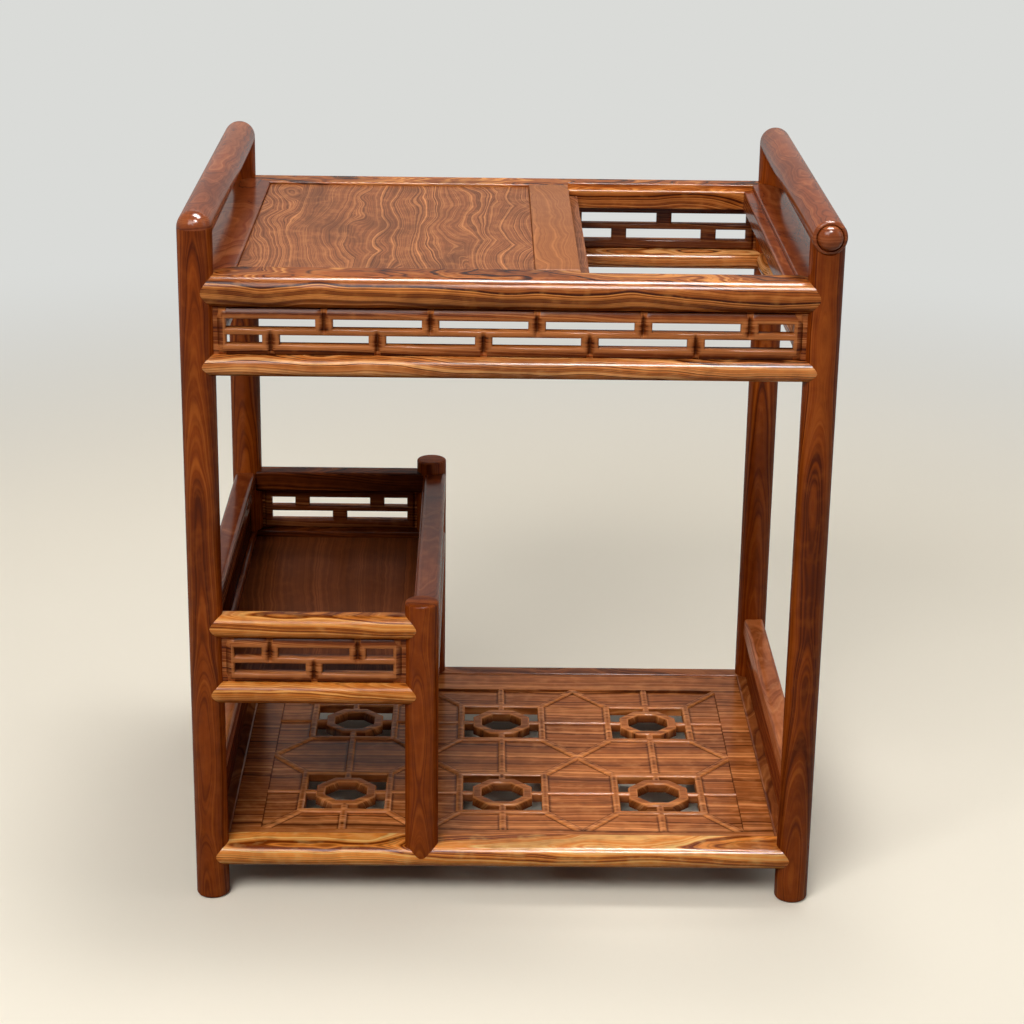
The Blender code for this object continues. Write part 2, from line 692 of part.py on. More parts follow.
def top_boards():
    """The divider beside the well, the top panel, its battens and the ledge round the well."""
    ledge_z = TOP_HEIGHT - WELL_LEDGE_DEPTH
    edge = TOP_INNER_Y - FIT
    divider = box("top_divider", (DIVIDER_LEFT, WELL_LEFT), (-edge, edge), (TOP_LOW, TOP_HEIGHT))
    middle = (DIVIDER_LEFT + WELL_LEFT) / 2
    half = DIVIDER_TENON_WIDTH / 2
    levels = (TOP_LOW + TENON_SHOULDER, ledge_z - FIT)
    reach = TOP_INNER_Y + DIVIDER_TENON
    tenon = ((middle - half, middle + half), (-reach, reach), levels)
    fuse(divider, box("tenon", *tenon))
    for name in ("top_front_rail", "top_rear_rail"):
        cut(pieces[name], box("mortise", *tenon, FIT))
    pieces["top_divider"] = divider
    lip_x = (WELL_LEFT - WELL_LEDGE, WELL_RIGHT + WELL_LEDGE)
    lip_y = (-TOP_INNER_Y - WELL_LEDGE, TOP_INNER_Y + WELL_LEDGE)
    for name in ("top_divider", "top_front_rail", "top_rear_rail", "top_right_rail"):
        cut(pieces[name], box("ledge", lip_x, lip_y, (ledge_z, TOP_HEIGHT + PAST)))
    panel_top = TOP_HEIGHT - TOP_PANEL_RECESS
    panel_x = (-WELL_RIGHT, DIVIDER_LEFT)
    hosts = ("top_front_rail", "top_rear_rail", "top_left_rail", "top_divider")
    flat_panel(
        "top_panel", panel_x, (-TOP_INNER_Y, TOP_INNER_Y), panel_top, TOP_PANEL_THICKNESS, hosts, ()
    )
    batten_top = panel_top - TOP_PANEL_THICKNESS - FIT
    for place, y in (("front", -TOP_BATTEN_SPREAD / 2), ("rear", TOP_BATTEN_SPREAD / 2)):
        size = (
            (panel_x[0] - BATTEN_TENON, panel_x[1] + BATTEN_TENON),
            (y - TOP_BATTEN_WIDTH / 2, y + TOP_BATTEN_WIDTH / 2),
            (TOP_LOW + 2 * FIT, batten_top),
        )
        name = f"top_panel_{place}_batten"
        pieces[name] = box(name, *size)
        for host in ("top_left_rail", "top_divider"):
            cut(pieces[host], box("mortise", *size, FIT))


def tray_floor():
    """The tray's floor, let into the four lower rails."""
    x = (SIDE_RAIL_INNER - LEG_X, TRAY_POST_X - TRAY_RIGHT_INNER)
    y = (TRAY_FRONT_INNER - LEG_Y, LEG_Y - TRAY_FRONT_INNER)
    hosts = [f"tray_{side}_low_rail" for side in ("front", "rear", "left", "right")]
    posts = ("front_left_leg", "rear_left_leg", "tray_front_post", "tray_rear_post")
    flat_panel("tray_floor", x, y, TRAY_LOW_TOP - TRAY_FLOOR_DROP, TRAY_FLOOR_THICKNESS, hosts, posts)


# The pierced shelf


def polygon(centre, across_flats, sides):
    """A regular polygon with flats facing the axes."""
    radius = across_flats / 2 / math.cos(math.pi / sides)
    turns = [math.tau * (step + 0.5) / sides for step in range(sides)]
    return [(centre[0] + radius * math.cos(turn), centre[1] + radius * math.sin(turn)) for turn in turns]


def bar(start, end, width):
    """The four corners of a straight bar between two points, lengthened by its own width at the far end."""
    line = Vector(end) - Vector(start)
    line.normalize()
    side = Vector((-line.y, line.x)) * width / 2
    near = Vector(start)
    far = Vector(end) + line * width
    return [tuple(near - side), tuple(far - side), tuple(far + side), tuple(near + side)]


def slanted_bars(columns, rows, way, pitch):
    """Bars one way out of every ring's square: right across to the next square, or to the field's edge.

    A bar between two squares belongs to the left-hand one, so each crossing has two whole bars.
    """
    corner = LATTICE_OPENING / 2
    bars = []
    for column, x in enumerate(columns):
        for row, y in enumerate(rows):
            start = (x + way[0] * corner, y + way[1] * corner)
            end = (x + way[0] * pitch[0] / 2, y + way[1] * pitch[1] / 2)
            if column + way[0] in range(len(columns)) and row + way[1] in range(len(rows)):
                if way[0] < 0:
                    continue
                end = (x + way[0] * (pitch[0] - corner), y + way[1] * (pitch[1] - corner))
            bars.append(bar(start, end, LATTICE_BAR))
    return bars


def shelf_panel():
    """A panel carved with a lattice: octagon rings in squares, linked by straight and slanted bars."""
    half_x = LEG_X - RAIL_OUTER
    front = SHELF_FRONT_INNER - LEG_Y
    rear = LEG_Y - SHELF_REAR_INNER
    top = SHELF_HEIGHT - SHELF_PANEL_RECESS
    low = top - SHELF_PANEL_THICKNESS
    hosts = [f"shelf_{side}_rail" for side in ("front", "rear", "left", "right")]
    leg_names = ("front_left_leg", "front_right_leg", "rear_left_leg", "rear_right_leg")
    plan = ((-half_x, half_x), (front, rear))
    flat_panel("shelf_panel", *plan, top, SHELF_PANEL_THICKNESS, hosts, leg_names)
    panel = pieces["shelf_panel"]
    field_x = (SHELF_MARGIN_X - half_x, half_x - SHELF_MARGIN_X)
    field_y = (front + SHELF_MARGIN_FRONT, rear - SHELF_MARGIN_REAR)
    pitch_x = (field_x[1] - field_x[0]) / LATTICE_COLUMNS
    pitch_y = (field_y[1] - field_y[0]) / LATTICE_ROWS
    columns = [field_x[0] + pitch_x * (place + 0.5) for place in range(LATTICE_COLUMNS)]
    rows = [field_y[0] + pitch_y * (place + 0.5) for place in range(LATTICE_ROWS)]
    centres = [(x, y) for x in columns for y in rows]
    opening = LATTICE_OPENING / 2
    half_bar = LATTICE_BAR / 2
    half_link = LATTICE_LINK / 2
    square = opening + LATTICE_BAR
    pockets = box("pockets", field_x, field_y, (top - LATTICE_RELIEF, top + PAST))
    span = (low - PAST, top + 2 * PAST)
    raised = [
        [rectangle(x - square, x + square, y - square, y + square) for x, y in centres],
        [rectangle(x - half_bar, x + half_bar, front, rear) for x in columns],
        [rectangle(-half_x, half_x, y - half_link, y + half_link) for y in rows],
    ]
    for way_x in (-1, 1):
        for way_y in (-1, 1):
            raised.append(slanted_bars(columns, rows, (way_x, way_y), (pitch_x, pitch_y)))
    for outlines in raised:
        cut(pockets, prisms("bars", "z", outlines, *span))
    cut(panel, pockets)
    corners = [rectangle(x - opening, x + opening, y - opening, y + opening) for x, y in centres]
    pierced = prisms("openings", "z", corners, low - PAST / 2, top + PAST / 2)
    kept = (
        [polygon(centre, RING_SIZE, RING_SIDES) for centre in centres],
        [rectangle(x - half_bar, x + half_bar, y - square, y + square) for x, y in centres],
        [rectangle(x - square, x + square, y - half_bar, y + half_bar) for x, y in centres],
    )
    for outlines in kept:
        cut(pierced, prisms("kept", "z", outlines, *span))
    cut(panel, pierced)
    eyes = [polygon(centre, RING_SIZE - 2 * RING_BAR, RING_SIDES) for centre in centres]
    cut(panel, prisms("eyes", "z", eyes, *span))
    for side, x in (("left", -pitch_x / 2), ("right", pitch_x / 2)):
        size = (
            (x - SHELF_BATTEN_WIDTH / 2, x + SHELF_BATTEN_WIDTH / 2),
            (front - BATTEN_TENON, rear + BATTEN_TENON),
            (SHELF_LOW + 2 * FIT, low - FIT),
        )
        name = f"shelf_{side}_batten"
        pieces[name] = box(name, *size)
        for host in ("shelf_front_rail", "shelf_rear_rail"):
            cut(pieces[host], box("mortise", *size, FIT))


# Timber and finishing


def timbers():
    """One Principled material for each timber."""
    made = {}
    for name, (colour, roughness) in TIMBERS.items():
        material = bpy.data.materials.new(name)
        material.use_nodes = True
        shader = material.node_tree.nodes["Principled BSDF"]
        shader.inputs["Base Color"].default_value = (*colour, 1.0)
        shader.inputs["Roughness"].default_value = roughness
        shader.inputs["Metallic"].default_value = 0.0
        made[name] = material
    return made


def timber_of(name):
    """The timber that a piece is cut from."""
    if name in ("top_panel", "top_divider"):
        return "figured_rosewood"
    if name == "shelf_panel" or name.endswith("_batten"):
        return "striped_rosewood"
    if name == "tray_floor":
        return "deep_rosewood"
    if name.endswith("hand_rail") or "curb_rail" in name or name in ("top_left_rail", "top_right_rail"):
        return "red_rosewood"
    if name.endswith("_rail") and not name.startswith("top_"):
        return "amber_rosewood"
    return "dark_rosewood"


def finish():
    """Gives each piece its timber, its shading and an origin at its own middle, under one empty."""
    made = timbers()
    stand = bpy.data.objects.new("tea_cabinet", None)
    bpy.context.scene.collection.objects.link(stand)
    for name, piece in pieces.items():
        mesh = piece.data
        mesh.name = name
        mesh.materials.clear()
        mesh.materials.append(made[timber_of(name)])
        mesh.shade_smooth()
        mesh.set_sharp_from_angle(angle=SMOOTH_ANGLE)
        corners = [Vector(corner) for corner in piece.bound_box]
        middle = sum(corners, Vector()) / len(corners)
        for vertex in mesh.vertices:
            vertex.co -= middle
        piece.location = middle
        piece.parent = stand


def main():
    for old in list(bpy.data.objects):
        bpy.data.objects.remove(old)
    legs()
    hand_rails()
    shelf_rails()
    tray_posts()
    curb_rails()
    tray_rails()
    apron_rails()
    top_rails()
    frets()
    side_boards()
    top_boards()
    tray_floor()
    shelf_panel()
    finish()


main()
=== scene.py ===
"""Looks of the rosewood tea stand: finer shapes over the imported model, timber, floor, light and camera.

Metres, +Z up, -Y is the front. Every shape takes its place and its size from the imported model's nodes.
"""

import logging
import math
import random
from collections.abc import Callable, Iterable, Sequence
from dataclasses import dataclass, field
from enum import Enum
from functools import cache

import bmesh
import bpy
from mathutils import Matrix, Vector


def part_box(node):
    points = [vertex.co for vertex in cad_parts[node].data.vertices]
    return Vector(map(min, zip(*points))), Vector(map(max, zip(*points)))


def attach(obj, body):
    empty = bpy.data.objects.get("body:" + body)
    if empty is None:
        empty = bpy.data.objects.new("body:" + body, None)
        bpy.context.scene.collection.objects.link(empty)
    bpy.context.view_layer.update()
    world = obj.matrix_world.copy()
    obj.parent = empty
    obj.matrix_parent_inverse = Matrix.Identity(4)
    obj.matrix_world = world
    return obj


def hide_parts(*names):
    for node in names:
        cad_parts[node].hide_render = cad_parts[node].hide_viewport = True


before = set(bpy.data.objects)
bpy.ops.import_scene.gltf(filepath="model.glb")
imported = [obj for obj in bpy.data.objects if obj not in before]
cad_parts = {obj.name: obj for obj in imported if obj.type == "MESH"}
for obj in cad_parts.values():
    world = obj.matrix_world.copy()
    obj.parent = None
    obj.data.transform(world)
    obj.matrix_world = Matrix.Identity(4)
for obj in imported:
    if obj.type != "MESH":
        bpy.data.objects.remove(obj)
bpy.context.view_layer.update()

LOG = logging.getLogger("tea_stand")
BODY = "root"
FIT = 0.0003
SAME_POINT = 1e-6
SAME_LEVEL = 1e-5
SMOOTH_ANGLE = math.radians(38)
FLAT_ANGLE = math.radians(1)
MM = 1000
GRAIN = "grain"
# Each piece's layer of marks: worn edges that also carry a painted highlight at 1, painted shade at -1
WEAR_AND_LIGHT = "wear_and_painted_light"
WORN_AND_HIGHLIT = 1.0
PAINTED_SHADE = -1.0
ROUND_PROFILE = 0.5

# Noise lies round its middle: times the whole span it goes from -1 to 1, times the usual span it mostly does
NOISE_MIDDLE = 0.5
WHOLE_SPAN = 2
USUAL_SPAN = 4

# The curve from screen values to linear light
FULL_TONE = 255
CURVE_START = 0.04045
CURVE_SLOPE = 12.92
CURVE_OFFSET = 0.055
CURVE_POWER = 2.4

Colour = tuple[float, float, float, float]
Pair = tuple[float, float]
Triple = tuple[float, float, float]
Cell = tuple[int, int]


def tone(red: int, green: int, blue: int) -> Colour:
    """A colour from its screen values.

    Args:
        red: Red from 0 to 255.
        green: Green from 0 to 255.
        blue: Blue from 0 to 255.

    Returns:
        The same colour in linear light, with full alpha.
    """
    linear = []
    for value in (red, green, blue):
        share = value / FULL_TONE
        curved = ((share + CURVE_OFFSET) / (1 + CURVE_OFFSET)) ** CURVE_POWER
        linear.append(share / CURVE_SLOPE if share <= CURVE_START else curved)
    return (linear[0], linear[1], linear[2], 1.0)


def quarter(steps: int) -> list[Pair]:
    """The sine and the cosine of each step through a quarter turn, with both ends."""
    angles = [math.pi / 2 * step / steps for step in range(steps + 1)]
    return [(math.sin(angle), math.cos(angle)) for angle in angles]


def compass(sides: int) -> list[Pair]:
    """The cosine and the sine of each corner of a ring that has a side square to the first axis."""
    turns = [math.tau * (step + 0.5) / sides for step in range(sides)]
    return [(math.cos(turn), math.sin(turn)) for turn in turns]


def sides_of(column: int, row: int) -> list[tuple[Cell, Cell, Cell]]:
    """The four sides of a cell of a grid.

    Args:
        column: The cell's column.
        row: The cell's row.

    Returns:
        Each side's two corners, going round, and the cell beyond it.
    """
    corners = ((column, row), (column + 1, row), (column + 1, row + 1), (column, row + 1))
    beyond = ((column, row - 1), (column + 1, row), (column, row + 1), (column - 1, row))
    return [(corners[side], corners[(side + 1) % 4], beyond[side]) for side in range(4)]


@cache
def box(node: str) -> tuple[Vector, Vector]:
    """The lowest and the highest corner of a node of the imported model."""
    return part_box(node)


class Axis(Enum):
    """An axis of the stand: the way that a piece runs."""

    X = 0
    Y = 1
    Z = 2

    @property
    def others(self) -> tuple[int, int]:
        """The numbers of the other two axes, in x, y, z order."""
        first, second = (number for number in range(3) if number != self.value)
        return first, second

    def point(self, along: float, first: float, second: float) -> Vector:
        """A point from its distance along this axis and its other two coordinates.

        Args:
            along: The coordinate on this axis.
            first: The coordinate on the first other axis.
            second: The coordinate on the second other axis.

        Returns:
            The point in x, y, z order.
        """
        made = Vector((0.0, 0.0, 0.0))
        made[self.value] = along
        made[self.others[0]] = first
        made[self.others[1]] = second
        return made


# Nodes of a finish


class Flow:
    """A value that runs through a finish: a socket, on which Python's operators add Math nodes."""

    def __init__(self, desk: "Desk", socket: bpy.types.NodeSocket) -> None:
        """Wraps a socket of the finish that a desk holds."""
        self.desk = desk
        self.socket = socket

    def __add__(self, other: "Flow | float") -> "Flow":
        """This value plus another."""
        return self.desk.math("ADD", self, other)

    def __radd__(self, other: float) -> "Flow":
        """A number plus this value."""
        return self.desk.math("ADD", other, self)

    def __sub__(self, other: "Flow | float") -> "Flow":
        """This value less another."""
        return self.desk.math("SUBTRACT", self, other)

    def __rsub__(self, other: float) -> "Flow":
        """A number less this value."""
        return self.desk.math("SUBTRACT", other, self)

    def __mul__(self, other: "Flow | float") -> "Flow":
        """This value times another."""
        return self.desk.math("MULTIPLY", self, other)

    def __rmul__(self, other: float) -> "Flow":
        """A number times this value."""
        return self.desk.math("MULTIPLY", other, self)

    def __pow__(self, power: float) -> "Flow":
        """This value to a power."""
        return self.desk.math("POWER", self, power)

    def clamped(self) -> "Flow":
        """This value kept from 0 to 1."""
        return self.desk.math("ADD", self, 0.0, clamp=True)


class Desk:
    """The node tree of one finish, with the few kinds of node that the finishes use."""

    def __init__(self, tree: bpy.types.NodeTree) -> None:
        """Takes a node tree and clears it."""
        self.tree = tree
        tree.nodes.clear()

    def node(
        self,
        kind: str,
        settings: dict[str, object] | None = None,
        sockets: dict[str | int, object] | None = None,
    ) -> bpy.types.Node:
        """Adds a node.

        Args:
            kind: The node's type.
            settings: Its own settings, set first; stops is a colour ramp's list of places and colours.
            sockets: Values or flows for its inputs, by name or number.

        Returns:
            The new node.
        """
        made = self.tree.nodes.new(kind)
        for name, value in (settings or {}).items():
            if name == "stops":
                self.set_stops(made.color_ramp, value)
            else:
                setattr(made, name, value)
        for name, value in (sockets or {}).items():
            if isinstance(value, Flow):
                self.tree.links.new(value.socket, made.inputs[name])
            else:
                made.inputs[name].default_value = value
        return made

    @staticmethod
    def set_stops(ramp: bpy.types.ColorRamp, stops: Sequence[tuple[float, Colour]]) -> None:
        """Gives a colour ramp its places and colours."""
        while len(ramp.elements) < len(stops):
            ramp.elements.new(0.5)
        for element, (place, colour) in zip(ramp.elements, stops):
            element.position = place
            element.color = colour

    def out(self, made: bpy.types.Node, output: str | int = 0) -> Flow:
        """One of a node's outputs as a flow."""
        return Flow(self, made.outputs[output])

    def math(self, operation: str, first: Flow | float, second: Flow | float, clamp: bool = False) -> Flow:
        """A Math node on two values."""
        settings = {"operation": operation, "use_clamp": clamp}
        return self.out(self.node("ShaderNodeMath", settings, {0: first, 1: second}))

    def stretch(self, vector: Flow, scale: Sequence[float]) -> Flow:
        """A vector with each of its parts times its own number."""
        settings = {"operation": "MULTIPLY"}
        return self.out(self.node("ShaderNodeVectorMath", settings, {0: vector, 1: tuple(scale)}))

    def noise(self, vector: Flow, detail: float, roughness: float = 0.5) -> bpy.types.Node:
        """Soft noise through a solid, one patch to a unit of the vector."""
        sockets = {"Vector": vector, "Scale": 1.0, "Detail": detail, "Roughness": roughness}
        return self.node("ShaderNodeTexNoise", {"noise_dimensions": "3D"}, sockets)

    def bands(self, place: Flow, detail: float, roughness: float) -> Flow:
        """Noise along a single value, one band to a unit of it."""
        sockets = {"W": place, "Scale": 1.0, "Detail": detail, "Roughness": roughness}
        return self.out(self.node("ShaderNodeTexNoise", {"noise_dimensions": "1D"}, sockets), "Fac")

    def ramp(self, value: Flow, stops: Sequence[tuple[float, Colour]]) -> Flow:
        """A value turned into colour by a ramp."""
        return self.out(self.node("ShaderNodeValToRGB", {"stops": stops}, {"Fac": value}), "Color")

    def mix(self, share: Flow | float, first: Flow | Colour, second: Flow | Colour) -> Flow:
        """Two colours mixed.

        Args:
            share: How much of the second colour there is, from 0 to 1.
            first: The colour at 0.
            second: The colour at 1.

        Returns:
            The mixed colour.
        """
        settings = {"data_type": "RGBA", "blend_type": "MIX", "clamp_factor": True}
        return self.out(self.node("ShaderNodeMix", settings, {0: share, 6: first, 7: second}), 2)

    def blend(self, share: Flow, first: bpy.types.Node, second: bpy.types.Node) -> bpy.types.Node:
        """Two shaders mixed by a share of the second."""
        sockets = {0: share, 1: self.out(first), 2: self.out(second)}
        return self.node("ShaderNodeMixShader", None, sockets)

    def attribute(self, name: str, output: str) -> Flow:
        """A value that a piece's mesh carries."""
        return self.out(self.node("ShaderNodeAttribute", {"attribute_name": name}), output)


# Finishes


@dataclass(frozen=True)
class Patches:
    """Soft patches through the timber.

    Along and across are how many there are to a metre of the grain and across it, and detail is how fine
    their edges are. Level is where dim turns to bright, gap is how far from there each begins to show and
    gain is how quickly it then does.
    """

    along: float
    across: float
    detail: float
    level: float = NOISE_MIDDLE
    gain: float = 1.0
    gap: float = 0.0

    def spread(self, desk: Desk, place: Flow) -> Flow:
        """The patches through a piece, bright above the middle and dim below it."""
        scale = (self.along, self.across, self.across)
        return desk.out(desk.noise(desk.stretch(place, scale), self.detail), "Fac")

    def bright(self, spread: Flow) -> Flow:
        """1 well inside a bright patch and 0 outside."""
        return ((spread - (self.level + self.gap)) * self.gain).clamped()

    def dim(self, spread: Flow) -> Flow:
        """1 well inside a dim patch and 0 outside."""
        return (((self.level - self.gap) - spread) * self.gain).clamped()


FIBRES = Patches(28.0, 950.0, 1.0, level=0.45, gain=2.0)
RIPPLES = Patches(38.0, 55.0, 1.0)
CLOUDS = Patches(7.0, 20.0, 2.0, level=0.46, gain=3.0)
CURLS = Patches(65.0, 85.0, 2.0, gain=4.0, gap=0.02)


@dataclass(frozen=True)
class Lines:
    """Ring lines of one fineness: how many to a broad ring, their start, their noise and their share."""

    times: float
    start: float
    detail: float
    roughness: float
    share: float


BROAD = Lines(1.0, 0.0, 1.5, 0.5, 1.0)
FINE = Lines(3.4, 9.0, 1.5, 0.55, 1.2)
HAIR = Lines(11.0, 23.0, 1.0, 0.5, 0.8)


@dataclass(frozen=True)
class Timber:
    """One cut of rosewood under satin lacquer, grown as rings round a pith that the grain runs along.

    The lengths are in metres: rings is the streaks in one metre, sway is how far they wander, swirl is the
    length of one wander along the grain, narrow is how many times shorter it is across and crotch is how far
    the streaks are drawn out where two boughs grew together. Contrast is how strong the streaks are, cloud
    is how deep the dark patches are and curl is how much short light and dark strokes show. worn_and_lit is
    how far worn edges, which also carry a painted highlight, go to the palest colour, and seam_shade is how
    far painted shade in seams, grooves and recesses goes to the darkest. Stops are the levels of
    the figure that are darkest, at both ends of the middle colour and palest.
    """

    name: str
    slot: str
    heart: Colour
    body: Colour
    flame: Colour
    rings: float = 130.0
    sway: float = 0.009
    swirl: float = 0.140
    narrow: float = 2.3
    crotch: float = 0.0
    ripple: float = 0.0010
    lean: float = 0.03
    wander_detail: float = 2.0
    wander_roughness: float = 0.4
    contrast: float = 1.0
    stops: tuple[float, float, float, float] = (0.14, 0.46, 0.54, 0.86)
    roughness: float = 0.25
    fibre_roughness: float = 0.10
    ior: float = 1.48
    lacquer: float = 0.30
    lacquer_roughness: float = 0.18
    lacquer_ior: float = 1.5
    cloud: float = 0.65
    curl: float = 0.32
    fibre: float = 0.30
    worn_and_lit: float = 0.45
    seam_shade: float = 0.85
    bump: float = 0.06
    bump_depth: float = 0.0008
    bump_fibre: float = 0.6

    def made(self) -> bpy.types.Material:
        """Builds the finish.

        Returns:
            The material, which reads a piece's grain and its marks of wear, painted highlight and painted
            shade.
        """
        material = bpy.data.materials.new(self.name)
        material.use_nodes = True
        desk = Desk(material.node_tree)
        place = desk.attribute(GRAIN, "Vector")
        wear_and_painted_light = desk.attribute(WEAR_AND_LIGHT, "Fac")
        fibre = FIBRES.spread(desk, place)
        figure = self.figure(desk, self.ring_radius(desk, place))
        colour = self.streaked(desk, place, figure, fibre)
        # Worn edges with their painted highlight go towards the palest colour, painted shade towards the
        # darkest
        colour = desk.mix((wear_and_painted_light * self.worn_and_lit).clamped(), colour, self.flame)
        colour = desk.mix((wear_and_painted_light * -self.seam_shade).clamped(), colour, self.heart)
        height = fibre * self.bump_fibre + figure * (1 - self.bump_fibre)
        relief = {"Strength": self.bump, "Distance": self.bump_depth, "Height": height}
        shader = desk.node(
            "ShaderNodeBsdfPrincipled",
            None,
            {
                "Base Color": colour,
                "Roughness": self.roughness + fibre * self.fibre_roughness,
                "Normal": desk.out(desk.node("ShaderNodeBump", None, relief)),
                "IOR": self.ior,
                "Specular IOR Level": 0.0,
                "Coat Weight": self.lacquer,
                "Coat Roughness": self.lacquer_roughness,
                "Coat IOR": self.lacquer_ior,
            },
        )
        desk.node("ShaderNodeOutputMaterial", None, {"Surface": desk.out(shader)})
        return material

    def figure(self, desk: Desk, radius: Flow) -> Flow:
        """The rings seen on a cut face, from the broad bands to the hairlines.

        Args:
            desk: The finish being built.
            radius: How far from the pith a point grew.

        Returns:
            About 0 in dark heartwood and 1 in the palest lines.
        """
        finenesses = (BROAD, FINE, HAIR)
        total = self.contrast * sum(lines.share for lines in finenesses)
        shade: Flow | float = NOISE_MIDDLE - total / 2
        for lines in finenesses:
            place = radius * (self.rings * lines.times) + lines.start
            shade = shade + desk.bands(place, lines.detail, lines.roughness) * (self.contrast * lines.share)
        return shade.clamped()

    def ring_radius(self, desk: Desk, place: Flow) -> Flow:
        """How far from the pith a point grew, with the wander of the grain in it.

        Args:
            desk: The finish being built.
            place: The point along, across and into the timber.

        Returns:
            The radius in metres.
        """
        parts = desk.node("ShaderNodeSeparateXYZ", None, {0: place})
        along, across, depth = (desk.out(parts, number) for number in range(3))
        slow = desk.stretch(place, (1 / self.swirl, self.narrow / self.swirl, self.narrow / self.swirl))
        wander = desk.out(desk.noise(slow, self.wander_detail, self.wander_roughness), "Color")
        split = desk.node("ShaderNodeSeparateColor", None, {0: wander})
        sideways, inwards, crotch = (desk.out(split, number) - NOISE_MIDDLE for number in range(3))
        quick = RIPPLES.spread(desk, place) - NOISE_MIDDLE
        across = across + sideways * (WHOLE_SPAN * self.sway) + quick * (USUAL_SPAN * self.ripple)
        if self.crotch:
            across = across + desk.math("ABSOLUTE", crotch, 0.0) * (USUAL_SPAN * self.crotch)
        depth = depth + along * self.lean + inwards * (WHOLE_SPAN * self.sway)
        return (across * across + depth * depth) ** 0.5

    def streaked(self, desk: Desk, place: Flow, figure: Flow, fibre: Flow) -> Flow:
        """The timber's colour.

        Args:
            desk: The finish being built.
            place: The point along, across and into the timber.
            figure: The rings on the cut face.
            fibre: The short fibres.

        Returns:
            The colour.
        """
        colours = (self.heart, self.body, self.body, self.flame)
        colour = desk.ramp(figure, tuple(zip(self.stops, colours)))
        clouds = CLOUDS.bright(CLOUDS.spread(desk, place))
        colour = desk.mix(clouds * self.cloud, colour, self.heart)
        curls = CURLS.spread(desk, place)
        colour = desk.mix(CURLS.bright(curls) * self.curl, colour, self.flame)
        colour = desk.mix(CURLS.dim(curls) * self.curl, colour, self.heart)
        return desk.mix(FIBRES.bright(fibre) * self.fibre, colour, self.heart)


DARK = Timber(
    "dark_rosewood", "dark_rosewood", tone(82, 29, 4), tone(138, 60, 12), tone(170, 86, 28),
    rings=140.0, swirl=0.170, contrast=0.85, lacquer=0.20,
)
# The tray's boards and rear rails stand in shade: a darker copy of the dark rosewood, painted shade
SHADED_DARK = Timber(
    "dark_rosewood_painted_shade", "dark_rosewood", tone(38, 12, 2), tone(82, 33, 8), tone(116, 54, 18),
    lacquer=0.20,
)
FRONT = Timber(
    "flame_rosewood", "dark_rosewood", tone(62, 21, 3), tone(164, 84, 28), tone(226, 146, 72),
    rings=150.0, sway=0.014, swirl=0.110, narrow=2.0, crotch=0.005, contrast=1.25,
)
FRET = Timber(
    "fret_rosewood", "dark_rosewood", tone(64, 24, 6), tone(142, 68, 24), tone(206, 128, 70),
    sway=0.006, lacquer=0.25,
)
RED = Timber(
    "red_rosewood", "red_rosewood", tone(86, 33, 9), tone(128, 58, 23), tone(166, 92, 48),
    sway=0.007, contrast=0.8, lacquer=0.45,
)
HAND = Timber(
    "red_rosewood_round", "red_rosewood", tone(88, 34, 10), tone(140, 66, 26), tone(178, 100, 54),
    swirl=0.070, narrow=1.5, contrast=0.7, lacquer=0.45,
)
CURB = Timber(
    "red_rosewood_curb", "red_rosewood", tone(122, 55, 20), tone(194, 108, 56), tone(226, 146, 88),
    sway=0.007, contrast=0.8,
)
AMBER = Timber(
    "amber_rosewood", "amber_rosewood", tone(116, 50, 8), tone(216, 124, 46), tone(250, 178, 96),
    rings=170.0, sway=0.007, swirl=0.120,
)
PALE = Timber(
    "amber_rosewood_pale", "amber_rosewood", tone(118, 48, 8), tone(242, 145, 57), tone(255, 202, 118),
    rings=170.0, sway=0.007, swirl=0.120, lacquer=0.45,
)
UMBER = Timber(
    "amber_rosewood_deep", "amber_rosewood", tone(74, 29, 6), tone(210, 120, 52), tone(250, 180, 108),
    rings=150.0, sway=0.010, swirl=0.110, contrast=1.2, lacquer=0.45,
)
BROWN = Timber(
    "brown_rosewood", "amber_rosewood", tone(90, 40, 12), tone(146, 76, 32), tone(184, 110, 56),
    rings=150.0, sway=0.007, swirl=0.120,
)
FIGURED = Timber(
    "figured_rosewood", "figured_rosewood", tone(96, 58, 40), tone(152, 90, 55), tone(212, 138, 84),
    rings=250.0, sway=0.018, swirl=0.240, narrow=2.6, crotch=0.028, ripple=0.0005, contrast=0.85,
    lacquer=0.20,
)
CLOUDED = Timber(
    "figured_rosewood_rail", "figured_rosewood", tone(96, 54, 36), tone(140, 82, 50), tone(188, 118, 70),
    rings=210.0, sway=0.014, swirl=0.120, narrow=1.3, crotch=0.012, ripple=0.0005, contrast=0.85,
    lacquer=0.20,
)
STRIPED = Timber(
    "striped_rosewood", "striped_rosewood", tone(72, 30, 9), tone(176, 97, 44), tone(236, 154, 88),
    rings=52.0, sway=0.012, swirl=0.210, narrow=3.2, ripple=0.0008, contrast=0.75,
)
DEEP = Timber(
    "deep_rosewood", "deep_rosewood", tone(36, 12, 3), tone(90, 40, 15), tone(138, 74, 38),
    rings=90.0, sway=0.010, swirl=0.250, lacquer=0.12, lacquer_roughness=0.30,
)


# Shapes


